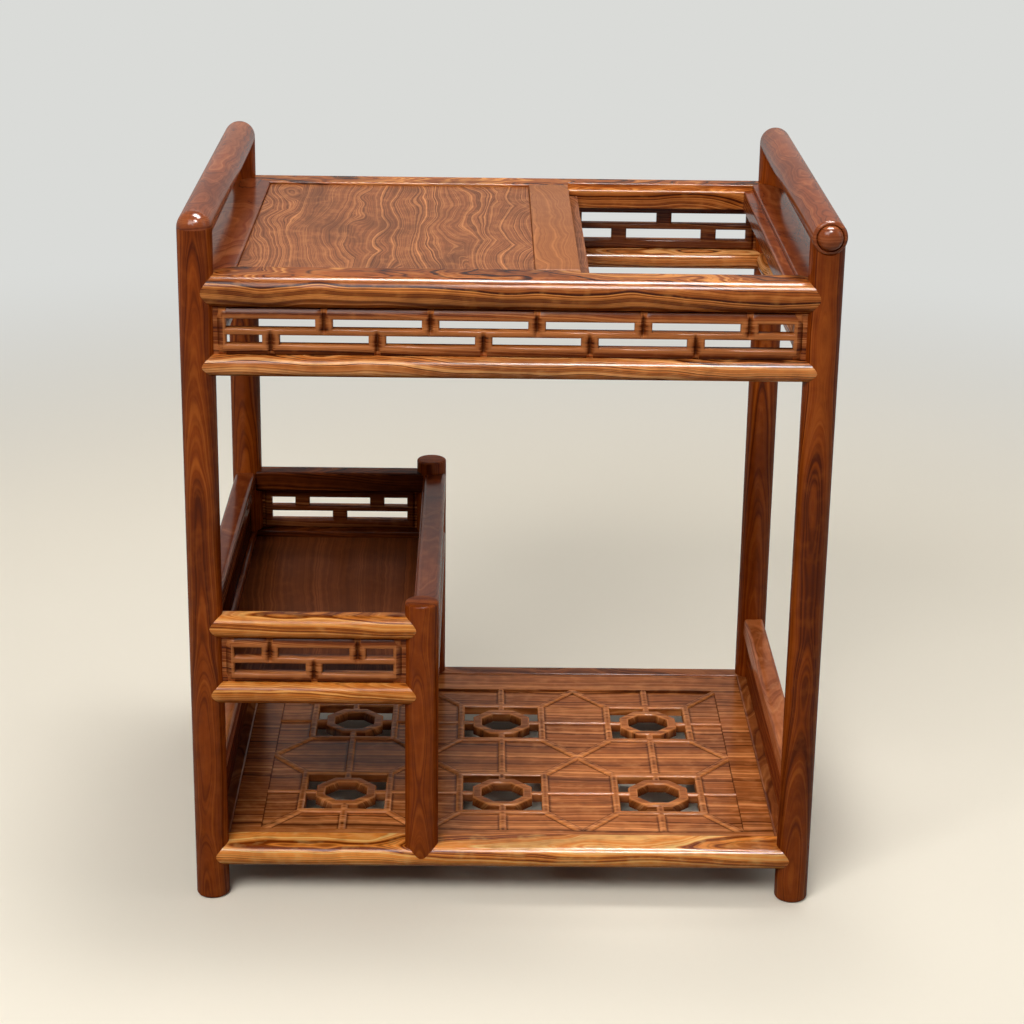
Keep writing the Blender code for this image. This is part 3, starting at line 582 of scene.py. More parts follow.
def turned(axis: Axis, centre: Pair, profile: Sequence[Pair], sides: int) -> bmesh.types.BMesh:
    """A turned shape.

    Args:
        axis: The axis of turning.
        centre: Where it stands on the other two axes.
        profile: Radius and distance along the axis, from the middle of one end to the middle of the other.
        sides: Points round a ring.

    Returns:
        The shape.
    """
    bm = bmesh.new()
    rings = []
    for radius, along in profile:
        ring = []
        for step in range(sides if radius else 1):
            angle = math.tau * step / sides
            a = centre[0] + radius * math.cos(angle)
            b = centre[1] + radius * math.sin(angle)
            ring.append(bm.verts.new(axis.point(along, a, b)))
        rings.append(ring)
    for lower, upper in zip(rings, rings[1:]):
        for step in range(sides):
            after = (step + 1) % sides
            corners = [lower[step % len(lower)], lower[after % len(lower)]]
            corners += [upper[after % len(upper)], upper[step % len(upper)]]
            bm.faces.new(list(dict.fromkeys(corners)))
    return bm


def lofted(rings: Sequence[Sequence[Vector]]) -> bmesh.types.BMesh:
    """A closed shape through rings of points.

    Args:
        rings: Closed rings of the same even count, each with its first half facing its second half.

    Returns:
        The shape, with each end filled across from one half of its ring to the other.
    """
    bm = bmesh.new()
    made = [[bm.verts.new(point) for point in ring] for ring in rings]
    count = len(rings[0])
    for lower, upper in zip(made, made[1:]):
        for step in range(count):
            after = (step + 1) % count
            bm.faces.new((lower[step], lower[after], upper[after], upper[step]))
    for ring in (made[0], made[-1]):
        for step in range(count // 2 - 1):
            bm.faces.new((ring[step], ring[step + 1], ring[count - 2 - step], ring[count - 1 - step]))
    bmesh.ops.remove_doubles(bm, verts=bm.verts, dist=SAME_POINT)
    return bm


def carved(bm: bmesh.types.BMesh, cutters: Iterable[bmesh.types.BMesh]) -> bmesh.types.BMesh:
    """A shape with other shapes cut away from it, all of which are used up.

    Args:
        bm: The shape to cut.
        cutters: Closed shapes.

    Returns:
        What is left.
    """
    work = scratch(bm)
    for cutter in cutters:
        tool = scratch(cutter)
        modifier = work.modifiers.new("cut", "BOOLEAN")
        modifier.object = tool
        modifier.operation = "DIFFERENCE"
        modifier.solver = "EXACT"
        graph = bpy.context.evaluated_depsgraph_get()
        mesh = bpy.data.meshes.new_from_object(work.evaluated_get(graph))
        work.modifiers.clear()
        work.data = mesh
        bpy.data.objects.remove(tool)
    left = bmesh.new()
    left.from_mesh(work.data)
    bpy.data.objects.remove(work)
    return left


def scratch(bm: bmesh.types.BMesh) -> bpy.types.Object:
    """A passing object that holds a shape while it is cut.

    Args:
        bm: The shape, which is used up.

    Returns:
        The object.
    """
    bmesh.ops.recalc_face_normals(bm, faces=bm.faces)
    mesh = bpy.data.meshes.new("scratch")
    bm.to_mesh(mesh)
    bm.free()
    made = bpy.data.objects.new("scratch", mesh)
    bpy.context.scene.collection.objects.link(made)
    return made


def prism(axis: Axis, outline: Sequence[Pair], start: float, end: float) -> bmesh.types.BMesh:
    """An outline drawn out along an axis.

    Args:
        axis: The axis to draw it along.
        outline: Corners on the other two axes, in order.
        start: Where it begins.
        end: Where it ends.

    Returns:
        The shape.
    """
    bm = bmesh.new()
    near = [bm.verts.new(axis.point(start, a, b)) for a, b in outline]
    far = [bm.verts.new(axis.point(end, a, b)) for a, b in outline]
    bm.faces.new(near)
    bm.faces.new(far)
    for step in range(len(outline)):
        after = (step + 1) % len(outline)
        bm.faces.new((near[step], near[after], far[after], far[step]))
    return bm


def of_node(node: str) -> bmesh.types.BMesh:
    """A node's own shape, with its flat faces whole again.

    Args:
        node: The node's name.

    Returns:
        The shape.
    """
    bm = bmesh.new()
    bm.from_mesh(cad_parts[node].data)
    bmesh.ops.remove_doubles(bm, verts=bm.verts, dist=SAME_POINT)
    bmesh.ops.recalc_face_normals(bm, faces=bm.faces)
    bmesh.ops.dissolve_limit(bm, angle_limit=FLAT_ANGLE, verts=bm.verts, edges=bm.edges)
    return bm


def wear_and_light_layer(bm: bmesh.types.BMesh) -> bmesh.types.BMLayerItem:
    """The layer of a shape that holds its wear, its painted highlights and its painted shade."""
    return bm.verts.layers.float.get(WEAR_AND_LIGHT) or bm.verts.layers.float.new(WEAR_AND_LIGHT)


def soften(bm: bmesh.types.BMesh, edges: Sequence[bmesh.types.BMEdge], width: float, steps: int) -> None:
    """Rounds some edges of a shape and marks them as worn and lit, with a painted highlight.

    Args:
        bm: The shape.
        edges: The edges to round.
        width: How far the rounding reaches on each side.
        steps: Facets across the rounding.
    """
    layer = wear_and_light_layer(bm)
    marks = bmesh.ops.bevel(
        bm,
        geom=list(edges),
        offset=width,
        offset_type="OFFSET",
        segments=steps,
        profile=ROUND_PROFILE,
        affect="EDGES",
        clamp_overlap=False,
    )
    # The rounded faces are marked worn and get a painted highlight
    for face in marks["faces"]:
        for vert in face.verts:
            vert[layer] = WORN_AND_HIGHLIT


def paint_seam_shade(bm: bmesh.types.BMesh, level: float, width: float) -> None:
    """Paints shade round the border of a shape's upper faces, as in the seam of a sunk panel.

    Args:
        bm: The shape.
        level: The height of the faces.
        width: How wide the painted shade is.
    """
    layer = wear_and_light_layer(bm)
    faces = [
        face
        for face in bm.faces
        if face.normal.z > math.cos(SMOOTH_ANGLE)
        and all(abs(vert.co.z - level) < SAME_LEVEL for vert in face.verts)
    ]
    rim = {vert for face in faces for vert in face.verts}
    bmesh.ops.inset_region(bm, faces=faces, thickness=width, use_even_offset=True)
    # Painted shade on the border, where the seam round a sunk panel lies in shade
    for vert in rim:
        if vert.is_valid:
            vert[layer] = PAINTED_SHADE
    for face in faces:
        for vert in face.verts:
            vert[layer] = 0.0


def sharp_edges(bm: bmesh.types.BMesh, keep: Callable[[Vector], bool]) -> list[bmesh.types.BMEdge]:
    """Outward edges of a shape that are sharp.

    Args:
        bm: The shape.
        keep: A test that both ends of an edge have to pass.

    Returns:
        The edges.
    """
    return [
        edge
        for edge in bm.edges
        if len(edge.link_faces) == 2
        and edge.is_convex
        and edge.calc_face_angle() > SMOOTH_ANGLE
        and all(keep(vert.co) for vert in edge.verts)
    ]


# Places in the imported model


@dataclass(frozen=True)
class Post:
    """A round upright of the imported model."""

    x: float
    y: float
    radius: float

    @classmethod
    @cache
    def of(cls, node: str) -> "Post":
        """The upright that a node is."""
        low, high = box(node)
        return cls((low.x + high.x) / 2, (low.y + high.y) / 2, (high.x - low.x) / 2)


@dataclass(frozen=True)
class Bay:
    """The space between two posts, and the side of it that faces outside."""

    first: str
    second: str
    outward: tuple[int, int]

    @property
    def run(self) -> Axis:
        """The axis from the first post to the second."""
        return Axis.X if self.outward[1] else Axis.Y

    @property
    def cross(self) -> int:
        """The number of the level axis across the bay."""
        return 1 if self.outward[1] else 0

    @property
    def sign(self) -> int:
        """+1 where outside is towards the positive end of the axis across."""
        return sum(self.outward)

    @property
    def reading(self) -> int:
        """+1 where someone outside reads left to right along the positive run."""
        return -self.sign if self.run is Axis.X else self.sign

    @property
    def radius(self) -> float:
        """The posts' radius."""
        return Post.of(self.first).radius

    @property
    def ends(self) -> Pair:
        """Where the two post axes stand along the run."""
        first, second = Post.of(self.first), Post.of(self.second)
        return (first.x, second.x) if self.run is Axis.X else (first.y, second.y)

    def across(self, outside: float) -> float:
        """The coordinate at a distance outside the plane of the post axes."""
        post = Post.of(self.first)
        return (post.x, post.y)[self.cross] + self.sign * outside

    def outside(self, coordinate: float) -> float:
        """How far outside the plane of the post axes a coordinate is."""
        post = Post.of(self.first)
        return (coordinate - (post.x, post.y)[self.cross]) * self.sign

    def point(self, along: float, outside: float, height: float) -> Vector:
        """A point from its place along the run, across it and its height."""
        if self.run is Axis.X:
            return Vector((along, self.across(outside), height))
        return Vector((self.across(outside), along, height))

    def reach(self, node: str) -> Pair:
        """How far a node reaches on both sides of the plane of the post axes.

        Args:
            node: The node's name.

        Returns:
            Its reach outside and its reach inside.
        """
        low, high = box(node)
        sides = sorted(self.outside(corner[self.cross]) for corner in (low, high))
        return sides[1], -sides[0]


FRONT_BAY = Bay("front_left_leg", "front_right_leg", (0, -1))
REAR_BAY = Bay("rear_left_leg", "rear_right_leg", (0, 1))
LEFT_BAY = Bay("front_left_leg", "rear_left_leg", (-1, 0))
RIGHT_BAY = Bay("front_right_leg", "rear_right_leg", (1, 0))
SIDES = {"front": FRONT_BAY, "rear": REAR_BAY, "left": LEFT_BAY, "right": RIGHT_BAY}
TRAY_FRONT_BAY = Bay("front_left_leg", "tray_front_post", (0, -1))
TRAY_REAR_BAY = Bay("rear_left_leg", "tray_rear_post", (0, 1))
TRAY_RIGHT_BAY = Bay("tray_front_post", "tray_rear_post", (1, 0))


class Profile(Enum):
    """How a rail's edges are rounded."""

    BULLNOSE = "a full round nose outside, nearly square inside"
    ROLLED = "a long roll over the top to a nose near the lower edge"
    ROUND = "round on both sides"
    SOFTENED = "square, with well-rounded edges"


@dataclass(frozen=True)
class Section:
    """A rail's cross-section, by its reach outside and inside the posts and its levels."""

    profile: Profile
    outer: float
    inner: float
    low: float
    high: float
    nose_depth: float
    roll_depth: float = 0.028
    roll_keel: float = 0.009
    back_rounding: float = 0.002
    soft_rounding: float = 0.005
    steps: int = 9

    def roundings(self) -> tuple[Pair, Pair, Pair]:
        """How each edge is rounded.

        Returns:
            Depth and rise of the rounding on the upper outer, the lower outer and both inner edges.
        """
        height = self.high - self.low
        nose = (self.nose_depth, height / 2)
        back = (self.back_rounding, self.back_rounding)
        soft = (self.soft_rounding, self.soft_rounding)
        keel = (self.roll_keel, self.roll_keel)
        return {
            Profile.BULLNOSE: (nose, nose, back),
            Profile.ROLLED: ((self.roll_depth, height - self.roll_keel), keel, back),
            Profile.ROUND: (nose, nose, nose),
            Profile.SOFTENED: (soft, soft, soft),
        }[self.profile]

    def places(self, extra: Iterable[float]) -> list[float]:
        """Distances outside the posts at which the section is drawn, from its inner to its outer edge.

        Args:
            extra: Further distances to take in.

        Returns:
            The distances in order.
        """
        nose, keel, back = self.roundings()
        found = set(extra)
        for sine, _ in quarter(self.steps):
            found.update(self.outer - depth * (1 - sine) for depth in (nose[0], keel[0]))
            found.add(back[0] * (1 - sine) - self.inner)
        ordered: list[float] = []
        for place in sorted(found):
            if not ordered or place - ordered[-1] > SAME_POINT:
                ordered.append(place)
        return ordered

    def levels(self, place: float) -> Pair:
        """The section's levels at a place.

        Args:
            place: The distance outside the posts.

        Returns:
            The underside and the top.
        """
        nose, keel, back = self.roundings()
        inside = self.drop(-self.inner - place, back)
        top = max(self.drop(place - self.outer, nose), inside)
        under = max(self.drop(place - self.outer, keel), inside)
        return self.low + under, self.high - top

    @staticmethod
    def drop(beyond: float, rounding: Pair) -> float:
        """How far a rounding falls away at a place.

        Args:
            beyond: The place's distance beyond the rail's edge, below zero inside it.
            rounding: The rounding's depth and rise.

        Returns:
            The fall.
        """
        depth, rise = rounding
        share = min(1.0, max(0.0, (beyond + depth) / depth))
        return rise * (1 - math.sqrt(1 - share * share))


@dataclass(frozen=True)
class Rebate:
    """A ledge cut along a rail's inner edge: its width, its level and where along the run it begins."""

    width: float
    level: float
    start: float | None = None
    lip_rounding: float = 0.0014
    lip_steps: int = 4


@dataclass
class Bench:
    """Where finished pieces are dressed: their grain, their timber and the node they stand for."""

    pith_aside: Pair = (-0.035, 0.035)
    pith_inside: Pair = (0.018, 0.050)
    trunk: float = 8.0
    nose: float = 0.010
    seam_shade_width: float = 0.0011
    edge_rounding: float = 0.0008
    edge_steps: int = 3
    materials: dict[str, bpy.types.Material] = field(default_factory=dict)
    pieces: list[bpy.types.Object] = field(default_factory=list)

    def dress(
        self,
        node: str,
        bm: bmesh.types.BMesh,
        grain: Axis,
        timber: Timber,
        pith: Pair | None = None,
    ) -> bpy.types.Object:
        """Turns a shape into the piece that stands for a node.

        Args:
            node: The node that it replaces.
            bm: Its shape, which is used up.
            grain: The way that its grain runs.
            timber: What it is cut from.
            pith: How far the heart of the tree lay from its middle, across and into the piece.

        Returns:
            The piece.
        """
        bmesh.ops.recalc_face_normals(bm, faces=bm.faces)
        mesh = bpy.data.meshes.new(node)
        bm.to_mesh(mesh)
        bm.free()
        mesh.shade_smooth()
        mesh.set_sharp_from_angle(angle=SMOOTH_ANGLE)
        self.lay_grain(mesh, node, grain, pith)
        if timber.name not in self.materials:
            self.materials[timber.name] = timber.made()
        mesh.materials.append(self.materials[timber.name])
        piece = bpy.data.objects.new(f"{node}_wood", mesh)
        bpy.context.scene.collection.objects.link(piece)
        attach(piece, BODY)
        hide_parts(node)
        self.pieces.append(piece)
        return piece

    def lay_grain(self, mesh: bpy.types.Mesh, node: str, grain: Axis, pith: Pair | None) -> None:
        """Writes where each point of a mesh lay in the tree: along the grain, across and in from the pith.

        Args:
            mesh: The mesh.
            node: The node's name, which settles the part of the tree.
            grain: The way that the grain runs.
            pith: How far the pith lay from the piece's middle.
        """
        chance = random.Random(node)
        if pith is None:
            pith = (chance.uniform(*self.pith_aside), chance.uniform(*self.pith_inside))
        start = chance.uniform(0.0, self.trunk)
        low, high = box(node)
        middle = (low + high) / 2
        first, second = grain.others
        places = []
        for vert in mesh.vertices:
            offset = vert.co - middle
            places += (vert.co[grain.value] + start, offset[first] + pith[0], offset[second] + pith[1])
        layer = mesh.attributes.new(GRAIN, "FLOAT_VECTOR", "POINT")
        layer.data.foreach_set("vector", places)
        if WEAR_AND_LIGHT not in mesh.attributes:
            mesh.attributes.new(WEAR_AND_LIGHT, "FLOAT", "POINT")

    def rail(
        self,
        node: str,
        bay: Bay,
        profile: Profile,
        timber: Timber,
        meets: tuple[str, str] | None = None,
        rebate: Rebate | None = None,
        nose: float | None = None,
    ) -> None:
        """A rail scribed round its two posts and mitred against the rails it meets behind them.

        Args:
            node: The node that it replaces.
            bay: The posts that it runs between.
            profile: How its edges are rounded.
            timber: What it is cut from.
            meets: The nodes that it meets behind its first and its second post.
            rebate: A ledge along its inner edge.
            nose: How deep the rounding of its outer side is, where it isn't the bench's own.
        """
        low, high = box(node)
        section = Section(profile, *bay.reach(node), low.z, high.z, nose or self.nose)
        others = (0.0, 0.0)
        if meets:
            run = bay.run.value
            others = (box(meets[0])[1][run] - bay.ends[0], bay.ends[1] - box(meets[1])[0][run])
        corners = [self.corner(bay.radius + FIT, other / section.inner) for other in others if other]
        cut = self.drawn(section, rebate, corners)
        stages = [(cut, None, None)]
        if rebate and rebate.start is not None:
            plain = self.drawn(section, rebate, corners, whole=True)
            stages = [(plain, None, rebate.start), (cut, rebate.start, None)]
        rings = []
        for outline, start, end in stages:
            for place, which in ((start, 0), (end, 1)):
                rings.append(self.ring(bay, section, outline, others[which], place, which))
        self.dress(node, lofted(rings), bay.run, timber)

    @staticmethod
    def corner(clear: float, slope: float) -> float:
        """How far outside the post axes the scribed curve round a post meets the mitre behind it.

        Args:
            clear: The radius of the scribed curve.
            slope: The mitre's run along the rail for each step inwards.

        Returns:
            The distance, which is below zero.
        """
        start = FIT / 2
        square = 1 + slope * slope
        root = math.sqrt((slope * start) ** 2 - square * (start * start - clear * clear))
        return (slope * start - root) / square

    @staticmethod
    def drawn(
        section: Section,
        rebate: Rebate | None,
        corners: Sequence[float],
        whole: bool = False,
    ) -> list[Triple]:
        """A section as distance outside the posts, underside and top, from its inner to its outer edge.

        Args:
            section: The section.
            rebate: A ledge along the inner edge, with a rounded lip.
            corners: Further distances at which the section is drawn.
            whole: Keeps the points of the ledge but leaves it uncut.

        Returns:
            The points in order.
        """
        if rebate is None:
            return [(place, *section.levels(place)) for place in section.places(corners)]
        lip = rebate.width - section.inner
        curve = [
            (lip + rebate.lip_rounding * (1 - cosine), rebate.lip_rounding * (1 - sine))
            for sine, cosine in quarter(rebate.lip_steps)
        ]
        made = []
        for place in section.places([lip, *corners, *(place for place, _ in curve)]):
            under, top = section.levels(place)
            falls = [fall for at, fall in curve if abs(at - place) <= SAME_POINT]
            if abs(place - lip) <= SAME_POINT:
                made.append((place, under, top if whole else rebate.level))
                made.append((place, under, top if whole else top - rebate.lip_rounding))
            elif place < lip:
                shelf = rebate.level - section.drop(-section.inner - place, section.roundings()[2])
                made.append((place, under, top if whole else shelf))
            else:
                made.append((place, under, top - (falls[0] if falls and not whole else 0.0)))
        return made

    @staticmethod
    def ring(
        bay: Bay,
        section: Section,
        outline: Sequence[Triple],
        other: float,
        place: float | None,
        which: int,
    ) -> list[Vector]:
        """One ring of a rail's points.

        Args:
            bay: The posts that it runs between.
            section: Its section.
            outline: The section's points.
            other: How far inside the post the rail reaches that it meets there.
            place: Where along the run the ring is, or None at the post.
            which: 0 for the first post and 1 for the second.

        Returns:
            The points along the top and back along the underside.
        """
        clear = bay.radius + FIT
        tops = []
        unders = []
        for outside, under, top in outline:
            round_post = math.sqrt(max(0.0, clear * clear - outside * outside))
            mitre = other * -outside / section.inner + FIT / 2 if other else 0.0
            inwards = max(round_post, mitre)
            along = bay.ends[which] + (inwards if which == 0 else -inwards)
            if place is not None:
                along = place
            tops.append(bay.point(along, outside, top))
            unders.append(bay.point(along, outside, under))
        return tops + unders[::-1]

    def board(
        self,
        node: str,
        grain: Axis,
        timber: Timber,
        pith: Pair | None = None,
        seam_shade: bool = False,
    ) -> None:
        """A flat board with its own shape, and softened upper edges, worn with a painted highlight, or
        painted shade in the seam round its top.

        Args:
            node: The node that it replaces.
            grain: The way that its grain runs.
            timber: What it is cut from.
            pith: How far the heart of the tree lay from its middle.
            seam_shade: True for the painted shade in the seam.
        """
        bm = of_node(node)
        top = box(node)[1].z
        # Painted shade in the seam round a sunk top, or worn upper edges with a painted highlight
        if seam_shade:
            paint_seam_shade(bm, top, self.seam_shade_width)
        else:
            upper = sharp_edges(bm, lambda point: point.z > top - SAME_LEVEL)
            soften(bm, upper, self.edge_rounding, self.edge_steps)
        self.dress(node, bm, grain, timber, pith)


# Parts of the stand


@dataclass
class Uprights:
    """The four legs and the two hand rails over them."""

    bench: Bench
    sides: int = 64
    foot_rounding: float = 0.0035
    rounding_steps: int = 6
    elbow_steps: int = 12
    rim_rounding: float = 0.0032
    groove_depth: float = 0.0022
    groove_width: float = 0.0013
    groove_bed: float = 0.00039
    dome_rise: float = 0.0080
    hand_pith: Pair = (0.003, 0.002)
    leg_pith: Pair = (0.012, 0.009)

    def build(self) -> None:
        """Makes the legs and the hand rails."""
        for side in ("left", "right"):
            boss = side == "right"
            self.leg(f"front_{side}_leg", f"{side}_hand_rail", not boss)
            self.leg(f"rear_{side}_leg", f"{side}_hand_rail", True)
            self.hand_rail(f"{side}_hand_rail", f"front_{side}_leg", f"rear_{side}_leg", boss)

    def leg(self, node: str, hand_rail: str, elbow: bool) -> None:
        """A round leg with a rounded foot and a saddle under its hand rail.

        Args:
            node: The node that it replaces.
            hand_rail: The rail that it carries.
            elbow: True where it runs up outside into a round elbow of the rail.
        """
        post = Post.of(node)
        axis = box(hand_rail)[0].z + post.radius
        outward = math.copysign(1.0, post.y)
        ways = compass(self.sides)
        rings = []
        for sine, cosine in quarter(self.rounding_steps):
            radius = post.radius - self.foot_rounding * (1 - sine)
            level = self.foot_rounding * (1 - cosine)
            rings.append([Vector((post.x + radius * x, post.y + radius * y, level)) for x, y in ways])
        saddle = []
        for way in ways:
            x, y = (post.radius * share for share in way)
            rise = 0.0 if elbow and y * outward > 0 else math.sqrt(post.radius**2 - x * x)
            saddle.append(Vector((post.x + x, post.y + y, axis - rise)))
        self.bench.dress(node, lofted([*rings, saddle]), Axis.Z, DARK, self.leg_pith)

    def hand_rail(self, node: str, front: str, rear: str, boss: bool) -> None:
        """A round bar that turns down into its legs in round elbows.

        Args:
            node: The node that it replaces.
            front: Its front leg.
            rear: Its rear leg.
            boss: True for a domed disc in the front end in place of an elbow.
        """
        near, far = Post.of(front), Post.of(rear)
        radius = near.radius
        axis = box(node)[0].z + radius
        ends = ((self.boss_end if boss else self.elbow_end)(radius), self.elbow_end(radius))
        ways = compass(self.sides)
        rings: list[list[Vector]] = []
        for profile, post, inwards in zip(ends, (near, far), (1, -1)):
            for reach, depth in profile[::inwards]:
                along = post.y + inwards * (depth - radius)
                rings.append([Vector((near.x + reach * x, along, axis + reach * z)) for x, z in ways])
        self.bench.dress(node, lofted(rings), Axis.Y, HAND, self.hand_pith)

    def elbow_end(self, radius: float) -> list[Pair]:
        """Rings of a half ball: radius and depth from the end."""
        return [(radius * sine, radius * (1 - cosine)) for sine, cosine in quarter(self.elbow_steps)[1:]]

    def boss_end(self, radius: float) -> list[Pair]:
        """Rings of an end with a domed disc inside a fine groove.

        Args:
            radius: The rail's radius.

        Returns:
            Each ring's radius and its depth from the flat end.
        """
        rim = radius - self.rim_rounding
        disc = rim - self.groove_width
        rings = [(disc * sine, -self.dome_rise * cosine) for sine, cosine in quarter(self.elbow_steps)[1:]]
        rings.append((disc + self.groove_bed, self.groove_depth))
        for sine, cosine in quarter(self.rounding_steps):
            rings.append((rim + self.rim_rounding * sine, self.rim_rounding * (1 - cosine)))
        return rings


@dataclass
class Fretwork:
    """Pierced panels in a brick pattern: each brick is a ring of rounded bars, with a groove to the next."""

    bench: Bench
    end_gap: float = 0.003
    end_bar: float = 0.008
    bar: float = 0.016
    edge: float = 0.010
    middle: float = 0.0065
    groove_width: float = 0.0062
    groove_depth: float = 0.0034
    groove_steps: int = 6
    rim: float = 0.0050
    rounding: float = 0.0028
    rounding_steps: int = 5
    rim_angle: float = math.radians(60)
    tongue: float = 0.005
    tongue_start: float = 0.001
    tongue_end: float = 0.0045
    # The painted shade on the panel's inner face
    painted_back_shade: float = -0.75
    wide_bricks: int = 5
    deep_bricks: int = 4
    tray_bricks: int = 2
    lower_row: int = 2
    upper_row: int = 4

    def build(self) -> None:
        """Makes the four aprons and the tray's front and rear."""
        for side, bay in SIDES.items():
            bricks = self.wide_bricks if bay.run is Axis.X else self.deep_bricks
            self.fret(f"{side}_apron_fret", bay, (f"{side}_apron_rail", f"top_{side}_rail"), bricks, True)
        for side, bay in (("front", TRAY_FRONT_BAY), ("rear", TRAY_REAR_BAY)):
            hosts = (f"tray_{side}_low_rail", f"tray_{side}_top_rail")
            self.fret(f"tray_{side}_fret", bay, hosts, self.tray_bricks, False)

    def rows(self, length: float, bricks: int, staggered: bool) -> tuple[list[Pair], list[Pair]]:
        """Openings of the upper and the lower row.

        Args:
            length: The panel's length.
            bricks: Whole bricks in a row.
            staggered: True where each row has a half brick at one end, and False where the upper row has one
                at both ends and the lower row has none.

        Returns:
            The start and end of each opening, from the panel's left-hand end.
        """
        room = length - 2 * self.end_bar
        if staggered:
            brick = (room - self.bar * (bricks - 0.5)) / (bricks + 0.5)
            half = (brick - self.bar) / 2
            widths = ([brick] * bricks + [half], [half] + [brick] * bricks)
        else:
            brick = (room - self.bar * (bricks - 1)) / bricks
            half = (brick - self.bar) / 2
            widths = ([half] + [brick] * (bricks - 1) + [half], [brick] * bricks)
        rows = []
        for row in widths:
            openings = []
            start = self.end_bar
            for width in row:
                openings.append((start, start + width))
                start += width + self.bar
            rows.append(openings)
        return rows[0], rows[1]

    def fret(self, node: str, bay: Bay, hosts: tuple[str, str], bricks: int, staggered: bool) -> None:
        """One pierced panel.

        Args:
            node: The node that it replaces.
            bay: The posts that it stands between.
            hosts: The rails under and over it.
            bricks: Whole bricks in a row.
            staggered: How its rows break joint.
        """
        low = box(hosts[0])[1].z + FIT
        high = box(hosts[1])[0].z - FIT
        outer, inner = bay.reach(node)
        start = bay.ends[0] + bay.radius + self.end_gap
        end = bay.ends[1] - bay.radius - self.end_gap
        upper, lower = self.rows(end - start, bricks, staggered)
        opening = (high - low - 2 * self.edge - self.middle) / 2
        steps = (0.0, self.rim, self.edge, self.edge + opening)
        levels = [low + step for step in steps] + [high - step for step in reversed(steps)]
        openings = {self.lower_row: lower, self.upper_row: upper}
        joints = [
            [(before[1] + after[0]) / 2 for before, after in zip(row, row[1:])] for row in (lower, upper)
        ]
        lines = self.lines(end - start, (lower, upper), joints)

        def pierced(column: int, row: int) -> bool:
            """True where a cell of the panel is open."""
            centre = (lines[column] + lines[column + 1]) / 2
            return any(a < centre < b for a, b in openings.get(row, ()))

        def dent(column: int, row: int) -> float:
            """How far the outer face is grooved at a corner of a cell.

            Args:
                column: The number of the upright line.
                row: The number of the level line.

            Returns:
                The depth.
            """
            if column in (0, len(lines) - 1) or row in (0, len(levels) - 1):
                return self.groove_depth
            reach = joints[0] if row < self.upper_row else joints[1]
            nearest = min(abs(lines[column] - joint) for joint in reach)
            share = min(1.0, nearest / (self.groove_width / 2))
            return self.groove_depth * (1 + math.cos(math.pi * share)) / 2

        bm = bmesh.new()
        layer = wear_and_light_layer(bm)
        faces: list[list[list[bmesh.types.BMVert]]] = []
        for outside, grooved in ((outer, True), (-inner, False)):
            grid = []
            for column, line in enumerate(lines):
                along = start + line if bay.reading > 0 else end - line
                uprights = []
                for row, level in enumerate(levels):
                    depth = dent(column, row) if grooved else 0.0
                    vert = bm.verts.new(bay.point(along, outside - depth, level))
                    # Painted shade in the grooves and round the panel's edges under and over the rails, as
                    # deep as the groove
                    vert[layer] = PAINTED_SHADE * depth / self.groove_depth
                    uprights.append(vert)
                grid.append(uprights)
            faces.append(grid)
        self.fill(bm, faces, lines, levels, pierced)
        bmesh.ops.delete(bm, geom=[vert for vert in bm.verts if not vert.link_faces], context="VERTS")
        bmesh.ops.recalc_face_normals(bm, faces=bm.faces)
        # The openings' rims are rounded, worn and given a painted highlight
        rims = [edge for edge in bm.edges if edge.is_convex and self.is_rim(edge, bay)]
        soften(bm, rims, self.rounding, self.rounding_steps)
        layer = wear_and_light_layer(bm)
        # Painted shade on the panel's inner half, its back face, which the stand shades
        for vert in bm.verts:
            if bay.outside(vert.co[bay.cross]) < (outer - inner) / 2:
                vert[layer] = self.painted_back_shade
        self.add_tongues(bm, bay, (start, end), (outer, inner), (low, high))
        self.bench.dress(node, bm, bay.run, FRET)

    def is_rim(self, edge: bmesh.types.BMEdge, bay: Bay) -> bool:
        """True for a sharp edge that lies in one of the panel's faces."""
        line = edge.verts[1].co - edge.verts[0].co
        return edge.calc_face_angle() > self.rim_angle and abs(line[bay.cross]) < line.length / 2

    def lines(
        self, length: float, rows: Sequence[Sequence[Pair]], joints: Sequence[Sequence[float]]
    ) -> list[float]:
        """Where the panel's upright grid lines stand.

        Args:
            length: The panel's length.
            rows: The openings of each row.
            joints: The middle of each groove of each row.

        Returns:
            The distances from its left-hand end, in order.
        """
        found = {0.0, self.rim, length - self.rim, length}
        for row in rows:
            for opening in row:
                found.update(opening)
        for row in joints:
            for joint in row:
                for step in range(-self.groove_steps, self.groove_steps + 1):
                    found.add(joint + self.groove_width / 2 * step / self.groove_steps)
        return sorted(found)

    @staticmethod
    def fill(
        bm: bmesh.types.BMesh,
        faces: Sequence[Sequence[Sequence[bmesh.types.BMVert]]],
        lines: Sequence[float],
        levels: Sequence[float],
        pierced: Callable[[int, int], bool],
    ) -> None:
        """Fills both faces of a pierced panel and the walls between them.

        Args:
            bm: The shape.
            faces: The corner points of the outer and the inner face, by line and by level.
            lines: The upright grid lines.
            levels: The level grid lines.
            pierced: Whether a cell is open.
        """
        columns = range(len(lines) - 1)
        rows = range(len(levels) - 1)
        outer, inner = faces

        def is_open(column: int, row: int) -> bool:
            """True outside the panel and in its openings."""
            return column not in columns or row not in rows or pierced(column, row)

        for column in columns:
            for row in rows:
                if is_open(column, row):
                    continue
                sides = sides_of(column, row)
                for grid in (outer, inner):
                    bm.faces.new([grid[c][r] for (c, r), _, _ in sides])
                for (c, r), (d, s), neighbour in sides:
                    if is_open(*neighbour):
                        bm.faces.new((outer[c][r], outer[d][s], inner[d][s], inner[c][r]))

